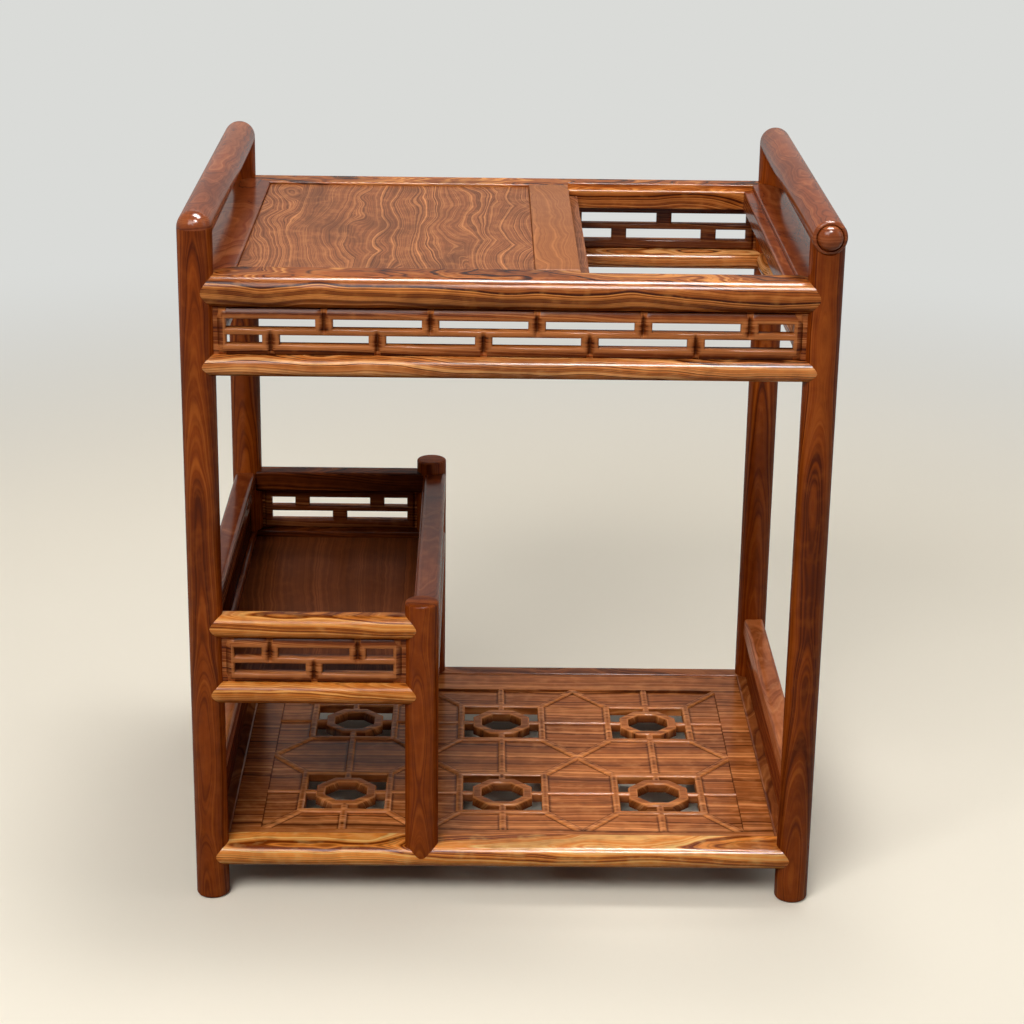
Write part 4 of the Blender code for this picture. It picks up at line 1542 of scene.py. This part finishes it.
    def add_tongues(self, bm: bmesh.types.BMesh, bay: Bay, along: Pair, faces: Pair, levels: Pair) -> None:
        """Adds the strip at each end of a panel that is let into the post.

        Args:
            bm: The panel's shape.
            bay: The posts that it stands between.
            along: Its ends along the run.
            faces: Its reach outside and inside the posts.
            levels: Its lower and upper edges.
        """
        middle = (faces[0] - faces[1]) / 2
        sides = (middle - self.tongue / 2, middle + self.tongue / 2)
        for end, way in ((along[0], -1), (along[1], 1)):
            corners = []
            for place in (end - way * self.tongue_start, end + way * self.tongue_end):
                for outside in sides:
                    corners.append([bm.verts.new(bay.point(place, outside, level)) for level in levels])
            a, b, c, d = corners
            for first, second in ((a, b), (b, d), (d, c), (c, a)):
                bm.faces.new((first[0], second[0], second[1], first[1]))
            for level in (0, 1):
                bm.faces.new((a[level], b[level], d[level], c[level]))


@dataclass
class Top:
    """The framed top: four rails, the figured panel, the divider and the ledge round the well."""

    bench: Bench
    nose: float = 0.013
    panel_pith: Pair = (0.25, 0.050)
    divider_pith: Pair = (0.30, 0.050)

    def build(self) -> None:
        """Makes the top."""
        width, level = self.ledge()
        well = box("top_divider")[1].x
        ends = ("top_front_rail", "top_rear_rail")
        sides = ("top_left_rail", "top_right_rail")
        for node, bay in zip(ends, (FRONT_BAY, REAR_BAY)):
            rebate = Rebate(width, level, well - width)
            self.bench.rail(node, bay, Profile.BULLNOSE, FRONT, sides, rebate, self.nose)
        self.bench.rail(sides[0], LEFT_BAY, Profile.ROLLED, RED, ends)
        self.bench.rail(sides[1], RIGHT_BAY, Profile.ROLLED, RED, ends, Rebate(width, level))
        self.bench.board("top_panel", Axis.Y, FIGURED, self.panel_pith, seam_shade=True)
        self.bench.board("top_divider", Axis.Y, CLOUDED, self.divider_pith)
        for place in ("front", "rear"):
            self.bench.board(f"top_panel_{place}_batten", Axis.X, STRIPED)
        LOG.info("well %.0f mm wide", MM * (box(sides[1])[0].x - well))

    @staticmethod
    def ledge() -> Pair:
        """The ledge round the well, read from the divider's own shape.

        Returns:
            Its width and its level.
        """
        low, high = box("top_divider")
        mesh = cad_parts["top_divider"].data
        level = max(vert.co.z for vert in mesh.vertices if low.z < vert.co.z < high.z - SAME_POINT)
        upper = max(vert.co.x for vert in mesh.vertices if vert.co.z > high.z - SAME_POINT)
        return high.x - upper, level


@dataclass
class Aprons:
    """The round rails under the four apron frets."""

    bench: Bench

    def build(self) -> None:
        """Makes the four rails."""
        for side, bay in SIDES.items():
            meets = ("left", "right") if bay.run is Axis.X else ("front", "rear")
            others = (f"{meets[0]}_apron_rail", f"{meets[1]}_apron_rail")
            self.bench.rail(f"{side}_apron_rail", bay, Profile.ROUND, UMBER, others)


@dataclass
class Tray:
    """The raised tray: two beaked posts, eight rails, two boards and a floor."""

    bench: Bench
    sides: int = 64
    crown_rounding: float = 0.0025
    crown_steps: int = 5
    beak_thickness: float = 0.0075
    beak_slope: float = 0.66
    beak_blunting: float = 0.0013
    post_pith: Pair = (0.010, 0.008)
    floor_pith: Pair = (0.200, 0.050)

    def build(self) -> None:
        """Makes the tray."""
        for end in ("front", "rear"):
            self.post(f"tray_{end}_post", f"shelf_{end}_rail")
        for level in ("low", "top"):
            sides = (f"tray_left_{level}_rail", f"tray_right_{level}_rail")
            ends = (f"tray_front_{level}_rail", f"tray_rear_{level}_rail")
            self.bench.rail(ends[0], TRAY_FRONT_BAY, Profile.ROUND, AMBER, sides)
            self.bench.rail(ends[1], TRAY_REAR_BAY, Profile.BULLNOSE, SHADED_DARK, sides)
            self.bench.rail(sides[0], LEFT_BAY, Profile.SOFTENED, RED, ends)
            self.bench.rail(sides[1], TRAY_RIGHT_BAY, Profile.SOFTENED, RED, ends)
        for side in ("left", "right"):
            self.bench.board(f"tray_{side}_board", Axis.Y, SHADED_DARK)
        self.bench.board("tray_floor", Axis.Y, DEEP, self.floor_pith)

    def post(self, node: str, rail: str) -> None:
        """A short round post with a rounded crown, and a pointed beak lapped over the shelf's rail.

        Args:
            node: The node that it replaces.
            rail: The shelf's rail that it stands on.
        """
        post = Post.of(node)
        top = box(node)[1].z
        seat = box(rail)[1].z
        bottom = self.beak_end(node)
        side = math.copysign(1.0, post.y)
        profile = [(0.0, bottom), (post.radius, bottom)]
        for sine, cosine in quarter(self.crown_steps):
            radius = post.radius - self.crown_rounding * (1 - cosine)
            profile.append((radius, top - self.crown_rounding * (1 - sine)))
        profile.append((0.0, top))
        rod = turned(Axis.Z, (post.x, post.y), profile, self.sides)
        wide = 2 * post.radius
        inner = post.y + side * (post.radius - self.beak_thickness)
        heel = [(post.x - wide, inner), (post.x + wide, inner)]
        heel += [(post.x + wide, post.y - side * wide), (post.x - wide, post.y - side * wide)]
        cutters = [prism(Axis.Z, heel, bottom - wide, seat + FIT)]
        tip = bottom - self.beak_blunting
        for way in (-1, 1):
            far = post.x + way * wide
            wedge = [(post.x, tip), (far, tip + self.beak_slope * wide), (far, tip - wide)]
            cutters.append(prism(Axis.Y, wedge, post.y - wide, post.y + wide))
        self.bench.dress(node, carved(rod, cutters), Axis.Z, DARK, self.post_pith)

    @staticmethod
    def beak_end(node: str) -> float:
        """Where a post ends on its outer side.

        Args:
            node: The post's node.

        Returns:
            The level of its lowest point there.
        """
        post = Post.of(node)
        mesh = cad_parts[node].data
        outer = abs(post.y) + post.radius / 2
        return min(vert.co.z for vert in mesh.vertices if abs(vert.co.y) > outer)


@dataclass
class Shelf:
    """The bottom shelf: four rails, two battens and the two curbs; the lattice makes its carved panel."""

    bench: Bench

    def build(self) -> None:
        """Makes the shelf and its curbs."""
        sides = ("shelf_left_rail", "shelf_right_rail")
        ends = ("shelf_front_rail", "shelf_rear_rail")
        self.bench.rail(ends[0], FRONT_BAY, Profile.BULLNOSE, PALE, sides)
        self.bench.rail(ends[1], REAR_BAY, Profile.BULLNOSE, BROWN, sides)
        for node, bay in zip(sides, (LEFT_BAY, RIGHT_BAY)):
            self.bench.rail(node, bay, Profile.BULLNOSE, BROWN, ends)
        for side, bay in (("left", LEFT_BAY), ("right", RIGHT_BAY)):
            self.bench.board(f"shelf_{side}_batten", Axis.Y, STRIPED)
            self.bench.rail(f"{side}_curb_rail", bay, Profile.SOFTENED, CURB)
            self.bench.board(f"{side}_curb_board", Axis.Y, DARK)


@dataclass
class Lattice:
    """The shelf's panel, carved with octagon rings in squares that straight and slanted bars link."""

    bench: Bench
    columns: int = 3
    rows: int = 2
    opening: float = 0.080
    bar: float = 0.0075
    link: float = 0.0055
    relief: float = 0.0025
    ring: float = 0.061
    ring_bar: float = 0.0095
    ring_sides: int = 8
    bar_rounding: float = 0.0030
    ring_rounding: float = 0.0020
    # The dark line along the bars' feet is painted shade; their rounded tops carry wear and a painted
    # highlight
    foot: float = 0.0026
    rounding_limit: float = 0.45
    edge_wear_and_highlight: float = 0.9
    steps: int = 5
    seam_shade: float = 0.0012
    sunk: float = 0.0004
    settle: float = 0.00015
    pith: Pair = (0.300, 0.050)
    top: float = field(init=False)
    floor: float = field(init=False)
    under: float = field(init=False)
    bm: bmesh.types.BMesh = field(init=False)
    wear_and_painted_light: bmesh.types.BMLayerItem = field(init=False)

    def build(self) -> None:
        """Makes the panel."""
        low, high = box("shelf_panel")
        self.top = high.z
        self.floor = high.z - self.relief
        self.under = low.z
        self.bm = bmesh.new()
        self.wear_and_painted_light = wear_and_light_layer(self.bm)
        carving = self.carving()
        pitch = [(end - start) / count for (start, end), count in zip(carving, (self.columns, self.rows))]
        xs = [carving[0][0] + pitch[0] * (place + 0.5) for place in range(self.columns)]
        ys = [carving[1][0] + pitch[1] * (place + 0.5) for place in range(self.rows)]
        self.plate(carving, xs, ys)
        for x in xs:
            for y in ys:
                self.square(Vector((x, y)))
        self.straight_bars(carving, xs, ys)
        for row in range(self.rows):
            for column in range(self.columns):
                self.slanted_bars(column, row, Vector((xs[column], ys[row])), pitch)
        self.bench.dress("shelf_panel", self.bm, Axis.X, STRIPED, self.pith)

    def carving(self) -> tuple[Pair, Pair]:
        """The carved field, read from the node's own shape.

        Returns:
            Its reach in x and in y.
        """
        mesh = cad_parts["shelf_panel"].data
        (left, right), (front, rear) = self.edges()
        points = [vert.co for vert in mesh.vertices if abs(vert.co.z - self.floor) < self.settle]
        xs = [point.x for point in points if left + self.link < point.x < right - self.link]
        ys = [point.y for point in points if front + self.link < point.y < rear - self.link]
        return (min(xs), max(xs)), (min(ys), max(ys))

    @staticmethod
    def edges() -> tuple[Pair, Pair]:
        """The panel's reach between the rails, in x and in y."""
        sides = (box("shelf_left_rail")[1].x + FIT, box("shelf_right_rail")[0].x - FIT)
        return sides, (box("shelf_front_rail")[1].y + FIT, box("shelf_rear_rail")[0].y - FIT)

    def plate(self, carving: tuple[Pair, Pair], xs: Sequence[float], ys: Sequence[float]) -> None:
        """The board itself: a raised border, the sunk field and the square openings.

        Args:
            carving: The carved field's reach in x and in y.
            xs: The middles of the columns.
            ys: The middles of the rows.
        """
        half = self.opening / 2
        lines = []
        for edges, inner, middles in zip(self.edges(), carving, (xs, ys)):
            spots = {*edges, *inner, inner[0] + self.seam_shade, inner[1] - self.seam_shade}
            for middle in middles:
                spots.update((middle - half, middle + half))
            lines.append(sorted(spots))

        def kind(column: int, row: int) -> float | None:
            """The level of a cell of the board.

            Args:
                column: The cell's column.
                row: The cell's row.

            Returns:
                The level, or None in an opening or outside.
            """
            if column not in range(len(lines[0]) - 1) or row not in range(len(lines[1]) - 1):
                return None
            x = (lines[0][column] + lines[0][column + 1]) / 2
            y = (lines[1][row] + lines[1][row + 1]) / 2
            if any(abs(x - a) < half for a in xs) and any(abs(y - b) < half for b in ys):
                return None
            inside = carving[0][0] < x < carving[0][1] and carving[1][0] < y < carving[1][1]
            return self.floor if inside else self.top

        points: dict[tuple[int, int, float], bmesh.types.BMVert] = {}

        def corner(column: int, row: int, level: float) -> bmesh.types.BMVert:
            """The point at a crossing of two lines and a level, made once.

            Args:
                column: The number of the line in x.
                row: The number of the line in y.
                level: The level.

            Returns:
                The point.
            """
            key = (column, row, level)
            if key not in points:
                points[key] = self.bm.verts.new((lines[0][column], lines[1][row], level))
                # Painted shade on the sunk field along its raised border
                rim = lines[0][column] in carving[0] or lines[1][row] in carving[1]
                points[key][self.wear_and_painted_light] = PAINTED_SHADE if rim and level == self.floor else 0.0
            return points[key]

        for column in range(len(lines[0]) - 1):
            for row in range(len(lines[1]) - 1):
                level = kind(column, row)
                if level is None:
                    continue
                sides = sides_of(column, row)
                self.bm.faces.new([corner(*near, level) for near, _, _ in sides])
                self.bm.faces.new([corner(*near, self.under) for near, _, _ in sides])
                for near, far, place in sides:
                    other = kind(*place)
                    lower = self.under if other is None else other
                    if lower < level:
                        wall = [corner(*near, level), corner(*far, level), corner(*far, lower)]
                        self.bm.faces.new([*wall, corner(*near, lower)])

    def square(self, centre: Vector) -> None:
        """The raised frame round an opening, and the ring and its four links inside it.

        Args:
            centre: The opening's middle.
        """
        half = self.opening / 2
        corners = [Vector(way) for way in ((-1, -1), (1, -1), (1, 1), (-1, 1))]
        inner = [centre + corner * half for corner in corners]
        outer = [centre + corner * (half + self.bar) for corner in corners]
        self.hoop(inner, outer, self.floor - self.sunk, self.bar_rounding, self.foot)
        ways = [Vector(way) for way in compass(self.ring_sides)]
        reach = self.ring / 2 / math.cos(math.pi / self.ring_sides)
        inside = reach * (1 - 2 * self.ring_bar / self.ring)
        eye = [centre + way * inside for way in ways]
        rim = [centre + way * reach for way in ways]
        self.hoop(eye, rim, self.under, self.ring_rounding)
        for way in (Vector((1, 0)), Vector((-1, 0)), Vector((0, 1)), Vector((0, -1))):
            start = centre + way * (self.ring / 2 - self.ring_bar / 2)
            self.strip(start, centre + way * (half + self.bar / 2), self.bar, self.under, self.settle * 2)

    def straight_bars(self, carving: tuple[Pair, Pair], xs: Sequence[float], ys: Sequence[float]) -> None:
        """The bars along the columns and the thinner links along the rows, broken at the squares.

        Args:
            carving: The carved field's reach in x and in y.
            xs: The middles of the columns.
            ys: The middles of the rows.
        """
        edge = self.opening / 2 + self.bar / 2
        base = self.floor - self.sunk
        for x in xs:
            stops = [carving[1][0], *(y + way * edge for y in ys for way in (-1, 1)), carving[1][1]]
            for start, end in zip(stops[::2], stops[1::2]):
                self.strip(Vector((x, start)), Vector((x, end)), self.bar, base, self.settle, self.foot)
        for y in ys:
            stops = [carving[0][0], *(x + way * edge for x in xs for way in (-1, 1)), carving[0][1]]
            for start, end in zip(stops[::2], stops[1::2]):
                self.strip(Vector((start, y)), Vector((end, y)), self.link, base, self.settle, self.foot)

    def slanted_bars(self, column: int, row: int, centre: Vector, pitch: Sequence[float]) -> None:
        """The bars out of a square's corners: right across to the next square, or to the field's edge.

        Args:
            column: The square's column.
            row: The square's row.
            centre: The square's middle.
            pitch: From one square to the next, in x and in y.
        """
        corner = self.opening / 2 + self.bar / 2
        for way_x in (-1, 1):
            for way_y in (-1, 1):
                across = column + way_x in range(self.columns) and row + way_y in range(self.rows)
                if across and way_x < 0:
                    continue
                start = centre + Vector((way_x, way_y)) * corner
                end = centre + Vector((way_x * pitch[0] / 2, way_y * pitch[1] / 2))
                if across:
                    end = centre + Vector((way_x * (pitch[0] - corner), way_y * (pitch[1] - corner)))
                # Bars that cross lie a hair apart in level
                drop = self.settle * (2 if way_y > 0 else 3)
                self.strip(start, end, self.bar, self.floor - self.sunk, drop, self.foot)

    def crown(self, width: float, base: float, rounding: float, drop: float, feet: Pair) -> list[Triple]:
        """A bar's section with rounded upper edges, worn with a painted highlight, and painted shade along
        its foot.

        Args:
            width: The bar's width.
            base: Its lower level.
            rounding: How far in from each side its top is rounded.
            drop: How far its top lies under the panel's top.
            feet: How wide the painted shade is on each side.

        Returns:
            Distance from one side, level and the mark of wear and painted light, over the top from side to
            side.
        """
        rise = min(self.relief, rounding)
        curve = []
        # The rounding is worn and carries a painted highlight, most in its middle
        for sine, cosine in quarter(self.steps):
            level = self.top - drop - rise * (1 - sine)
            curve.append((rounding * (1 - cosine), level, self.edge_wear_and_highlight * 2 * sine * cosine))
        mirrored = [(width - place, level, wear_and_painted_light) for place, level, wear_and_painted_light in reversed(curve)]
        line = self.floor + 2 * self.settle - drop / 2
        # Painted shade at the bar's foot, fading out across the field beside it
        start, end = [(0.0, base, PAINTED_SHADE)], [(width, base, PAINTED_SHADE)]
        if feet[0]:
            start = [(-feet[0], base, 0.0), (-feet[0], line, 0.0), (0.0, line, PAINTED_SHADE)]
        if feet[1]:
            end = [(width, line, PAINTED_SHADE), (width + feet[1], line, 0.0), (width + feet[1], base, 0.0)]
        return [*start, *curve, *mirrored, *end]

    def ring_of(
        self, section: Sequence[Triple], spot: Callable[[float], Vector]
    ) -> list[bmesh.types.BMVert]:
        """Points of the panel round a bar's section.

        Args:
            section: Distance from one side, level and the mark of wear and painted light.
            spot: Where on the plan a distance from the side lies.

        Returns:
            The points in the section's order.
        """
        ring = []
        for place, level, wear_and_painted_light in section:
            flat = spot(place)
            vert = self.bm.verts.new((flat.x, flat.y, level))
            vert[self.wear_and_painted_light] = wear_and_painted_light
            ring.append(vert)
        return ring

    def strip(
        self, start: Vector, end: Vector, width: float, base: float, drop: float, foot: float = 0.0
    ) -> None:
        """A straight bar with rounded upper edges.

        Args:
            start: Its start.
            end: Its end.
            width: Its width.
            base: Its lower level.
            drop: How far its top lies under the panel's top.
            foot: How wide the painted shade is along each side of it.
        """
        line = (end - start).normalized()
        side = Vector((-line.y, line.x))
        rounding = min(self.bar_rounding, width * self.rounding_limit)
        section = self.crown(width, base, rounding, drop, (foot, foot))
        rings = []
        for middle in (start, end):
            rings.append(self.ring_of(section, lambda place: middle + side * (place - width / 2)))
        for near, far in zip(zip(rings[0], rings[0][1:]), zip(rings[1], rings[1][1:])):
            self.bm.faces.new((near[0], near[1], far[1], far[0]))
        self.bm.faces.new(rings[0])
        self.bm.faces.new(rings[1])
        self.bm.faces.new((rings[0][0], rings[0][-1], rings[1][-1], rings[1][0]))

    def hoop(
        self,
        inner: Sequence[Vector],
        outer: Sequence[Vector],
        base: float,
        rounding: float,
        foot: float = 0.0,
    ) -> None:
        """A closed frame with rounded upper edges and mitred corners.

        Args:
            inner: The inner corners.
            outer: The outer corners, as many.
            base: Its lower level.
            rounding: How far in from each side its top is rounded.
            foot: How wide the painted shade is along its outer side.
        """
        growth = (outer[0] - outer[1]).length - (inner[0] - inner[1]).length
        width = growth / 2 / math.tan(math.pi / len(inner))
        section = self.crown(width, base, rounding, 0.0, (0.0, foot))
        rings = []
        for first, second in zip(inner, outer):
            rings.append(self.ring_of(section, lambda place: first.lerp(second, place / width)))
        for near, far in zip(rings, rings[1:] + rings[:1]):
            count = len(near)
            for step in range(count):
                after = (step + 1) % count
                self.bm.faces.new((near[step], near[after], far[after], far[step]))


# Stage, light and camera


@dataclass(frozen=True)
class Lamp:
    """A soft rectangular lamp: where it hangs, its width and height and its power in watts."""

    name: str
    place: Triple
    size: Pair
    power: float
    gloss_only: bool = False

    def hang(self, aim: Vector) -> None:
        """Hangs the lamp, which shows in the lacquer alone if it is for gloss.

        Args:
            aim: The point that it faces.
        """
        light = bpy.data.lights.new(self.name, "AREA")
        light.shape = "RECTANGLE"
        light.size, light.size_y = self.size
        light.energy = self.power
        lamp = bpy.data.objects.new(self.name, light)
        lamp.location = self.place
        lamp.visible_diffuse = not self.gloss_only
        lamp.rotation_euler = (aim - Vector(self.place)).to_track_quat("-Z", "Y").to_euler()
        bpy.context.scene.collection.objects.link(lamp)


@dataclass
class Studio:
    """A plain pale floor that fades into a plain pale ground, soft lamps and the camera."""

    lamps: tuple[Lamp, ...] = (
        Lamp("key", (0.3, 0.35, 3.2), (1.0, 0.7), 34.0),
        Lamp("gloss", (0.35, -0.1, 3.1), (0.7, 1.6), 300.0, gloss_only=True),
        Lamp("sheen", (0.4, -1.9, 2.9), (0.8, 0.6), 110.0, gloss_only=True),
        Lamp("front", (-1.0, -2.4, 2.7), (2.0, 1.4), 90.0),
        Lamp("right", (2.3, -0.6, 1.7), (1.0, 1.4), 8.0),
        Lamp("behind", (0.2, 1.9, 2.1), (2.4, 0.25), 8.0),
    )
    lit_point: Triple = (0.0, 0.0, 0.4)
    floor_colour: Colour = tone(246, 237, 219)
    bounce_colour: Colour = tone(100, 90, 78)
    ground_colour: Colour = tone(218, 219, 216)
    floor_half: float = 9.0
    fade_start: float = 0.9
    fade_length: float = 1.6
    world_colour: Colour = tone(255, 255, 255)
    world_light: float = 0.15
    eye: Triple = (-0.02775, -2.37271, 1.16060)
    yaw: float = 0.01467
    pitch: float = 0.33929
    roll: float = 0.01487
    lens: float = 86.365
    sensor: float = 36.0

    def build(self) -> None:
        """Makes the floor, the light and the camera."""
        bpy.context.scene.view_settings.view_transform = "Standard"
        self.floor()
        self.world()
        for lamp in self.lamps:
            lamp.hang(Vector(self.lit_point))
        self.camera()

    def floor(self) -> None:
        """A level floor whose far part has the ground's colour."""
        mesh = bpy.data.meshes.new("floor")
        bm = bmesh.new()
        half = self.floor_half
        corners = ((-half, -half), (half, -half), (half, half), (-half, half))
        bm.faces.new([bm.verts.new((x, y, 0.0)) for x, y in corners])
        bm.to_mesh(mesh)
        bm.free()
        floor = bpy.data.objects.new("floor", mesh)
        bpy.context.scene.collection.objects.link(floor)
        material = bpy.data.materials.new("pale_floor")
        material.use_nodes = True
        desk = Desk(material.node_tree)
        place = desk.out(desk.node("ShaderNodeTexCoord"), "Object")
        length = desk.node("ShaderNodeVectorMath", {"operation": "LENGTH"}, {0: place})
        away = ((desk.out(length, "Value") - self.fade_start) * (1 / self.fade_length)).clamped()
        share = away * away * (3.0 - 2.0 * away)
        near = desk.node("ShaderNodeBsdfDiffuse", None, {"Color": self.floor_colour})
        bounce = desk.node("ShaderNodeBsdfDiffuse", None, {"Color": self.bounce_colour})
        far = desk.node("ShaderNodeEmission", None, {"Color": self.ground_colour, "Strength": 1.0})
        seen = self.seen(desk)
        mixed = desk.blend(share * seen, desk.blend(seen, bounce, near), far)
        desk.node("ShaderNodeOutputMaterial", None, {"Surface": desk.out(mixed)})
        mesh.materials.append(material)

    @staticmethod
    def seen(desk: Desk) -> Flow:
        """Tells what the camera sees from what lights the stand.

        Args:
            desk: The node tree to add it to.

        Returns:
            1 for what is seen straight, in gloss or through glass, and 0 for light.
        """
        path = desk.node("ShaderNodeLightPath")
        rays = ("Is Camera Ray", "Is Glossy Ray", "Is Transmission Ray")
        camera, glossy, through = (desk.out(path, name) for name in rays)
        return (camera + glossy + through).clamped()

    def world(self) -> None:
        """Even light from all round, and the ground's colour behind."""
        world = bpy.data.worlds.new("studio")
        world.use_nodes = True
        bpy.context.scene.world = world
        desk = Desk(world.node_tree)
        even = {"Color": self.world_colour, "Strength": self.world_light}
        light = desk.node("ShaderNodeBackground", None, even)
        ground = desk.node("ShaderNodeBackground", None, {"Color": self.ground_colour, "Strength": 1.0})
        mixed = desk.blend(self.seen(desk), light, ground)
        desk.node("ShaderNodeOutputWorld", None, {"Surface": desk.out(mixed)})

    def camera(self) -> None:
        """A camera at the picture's angle."""
        data = bpy.data.cameras.new("camera")
        data.lens = self.lens
        data.sensor_width = self.sensor
        level = Vector((math.cos(self.yaw), -math.sin(self.yaw), 0.0))
        forward = Vector((math.sin(self.yaw), math.cos(self.yaw), 0.0))
        ahead = forward * math.cos(self.pitch) - Vector((0.0, 0.0, math.sin(self.pitch)))
        upright = level.cross(ahead)
        right = level * math.cos(self.roll) + upright * math.sin(self.roll)
        up = upright * math.cos(self.roll) - level * math.sin(self.roll)
        turn = Matrix((right, up, -ahead)).transposed().to_4x4()
        camera = bpy.data.objects.new("camera", data)
        camera.matrix_world = Matrix.Translation(Vector(self.eye)) @ turn
        bpy.context.scene.collection.objects.link(camera)
        bpy.context.scene.camera = camera


def main() -> None:
    """Builds the stand, part by part, logging each piece, then the studio."""
    logging.basicConfig(level=logging.INFO, format="%(name)s: %(message)s")
    bench = Bench()
    for kind in (Uprights, Fretwork, Top, Aprons, Tray, Shelf, Lattice):
        part = kind(bench)
        before = len(bench.pieces)
        part.build()
        for piece in bench.pieces[before:]:
            LOG.info("%s: %s, %d faces", kind.__name__, piece.name, len(piece.data.polygons))
    Studio().build()
    bpy.context.view_layer.update()


if __name__ == "__main__":
    main()
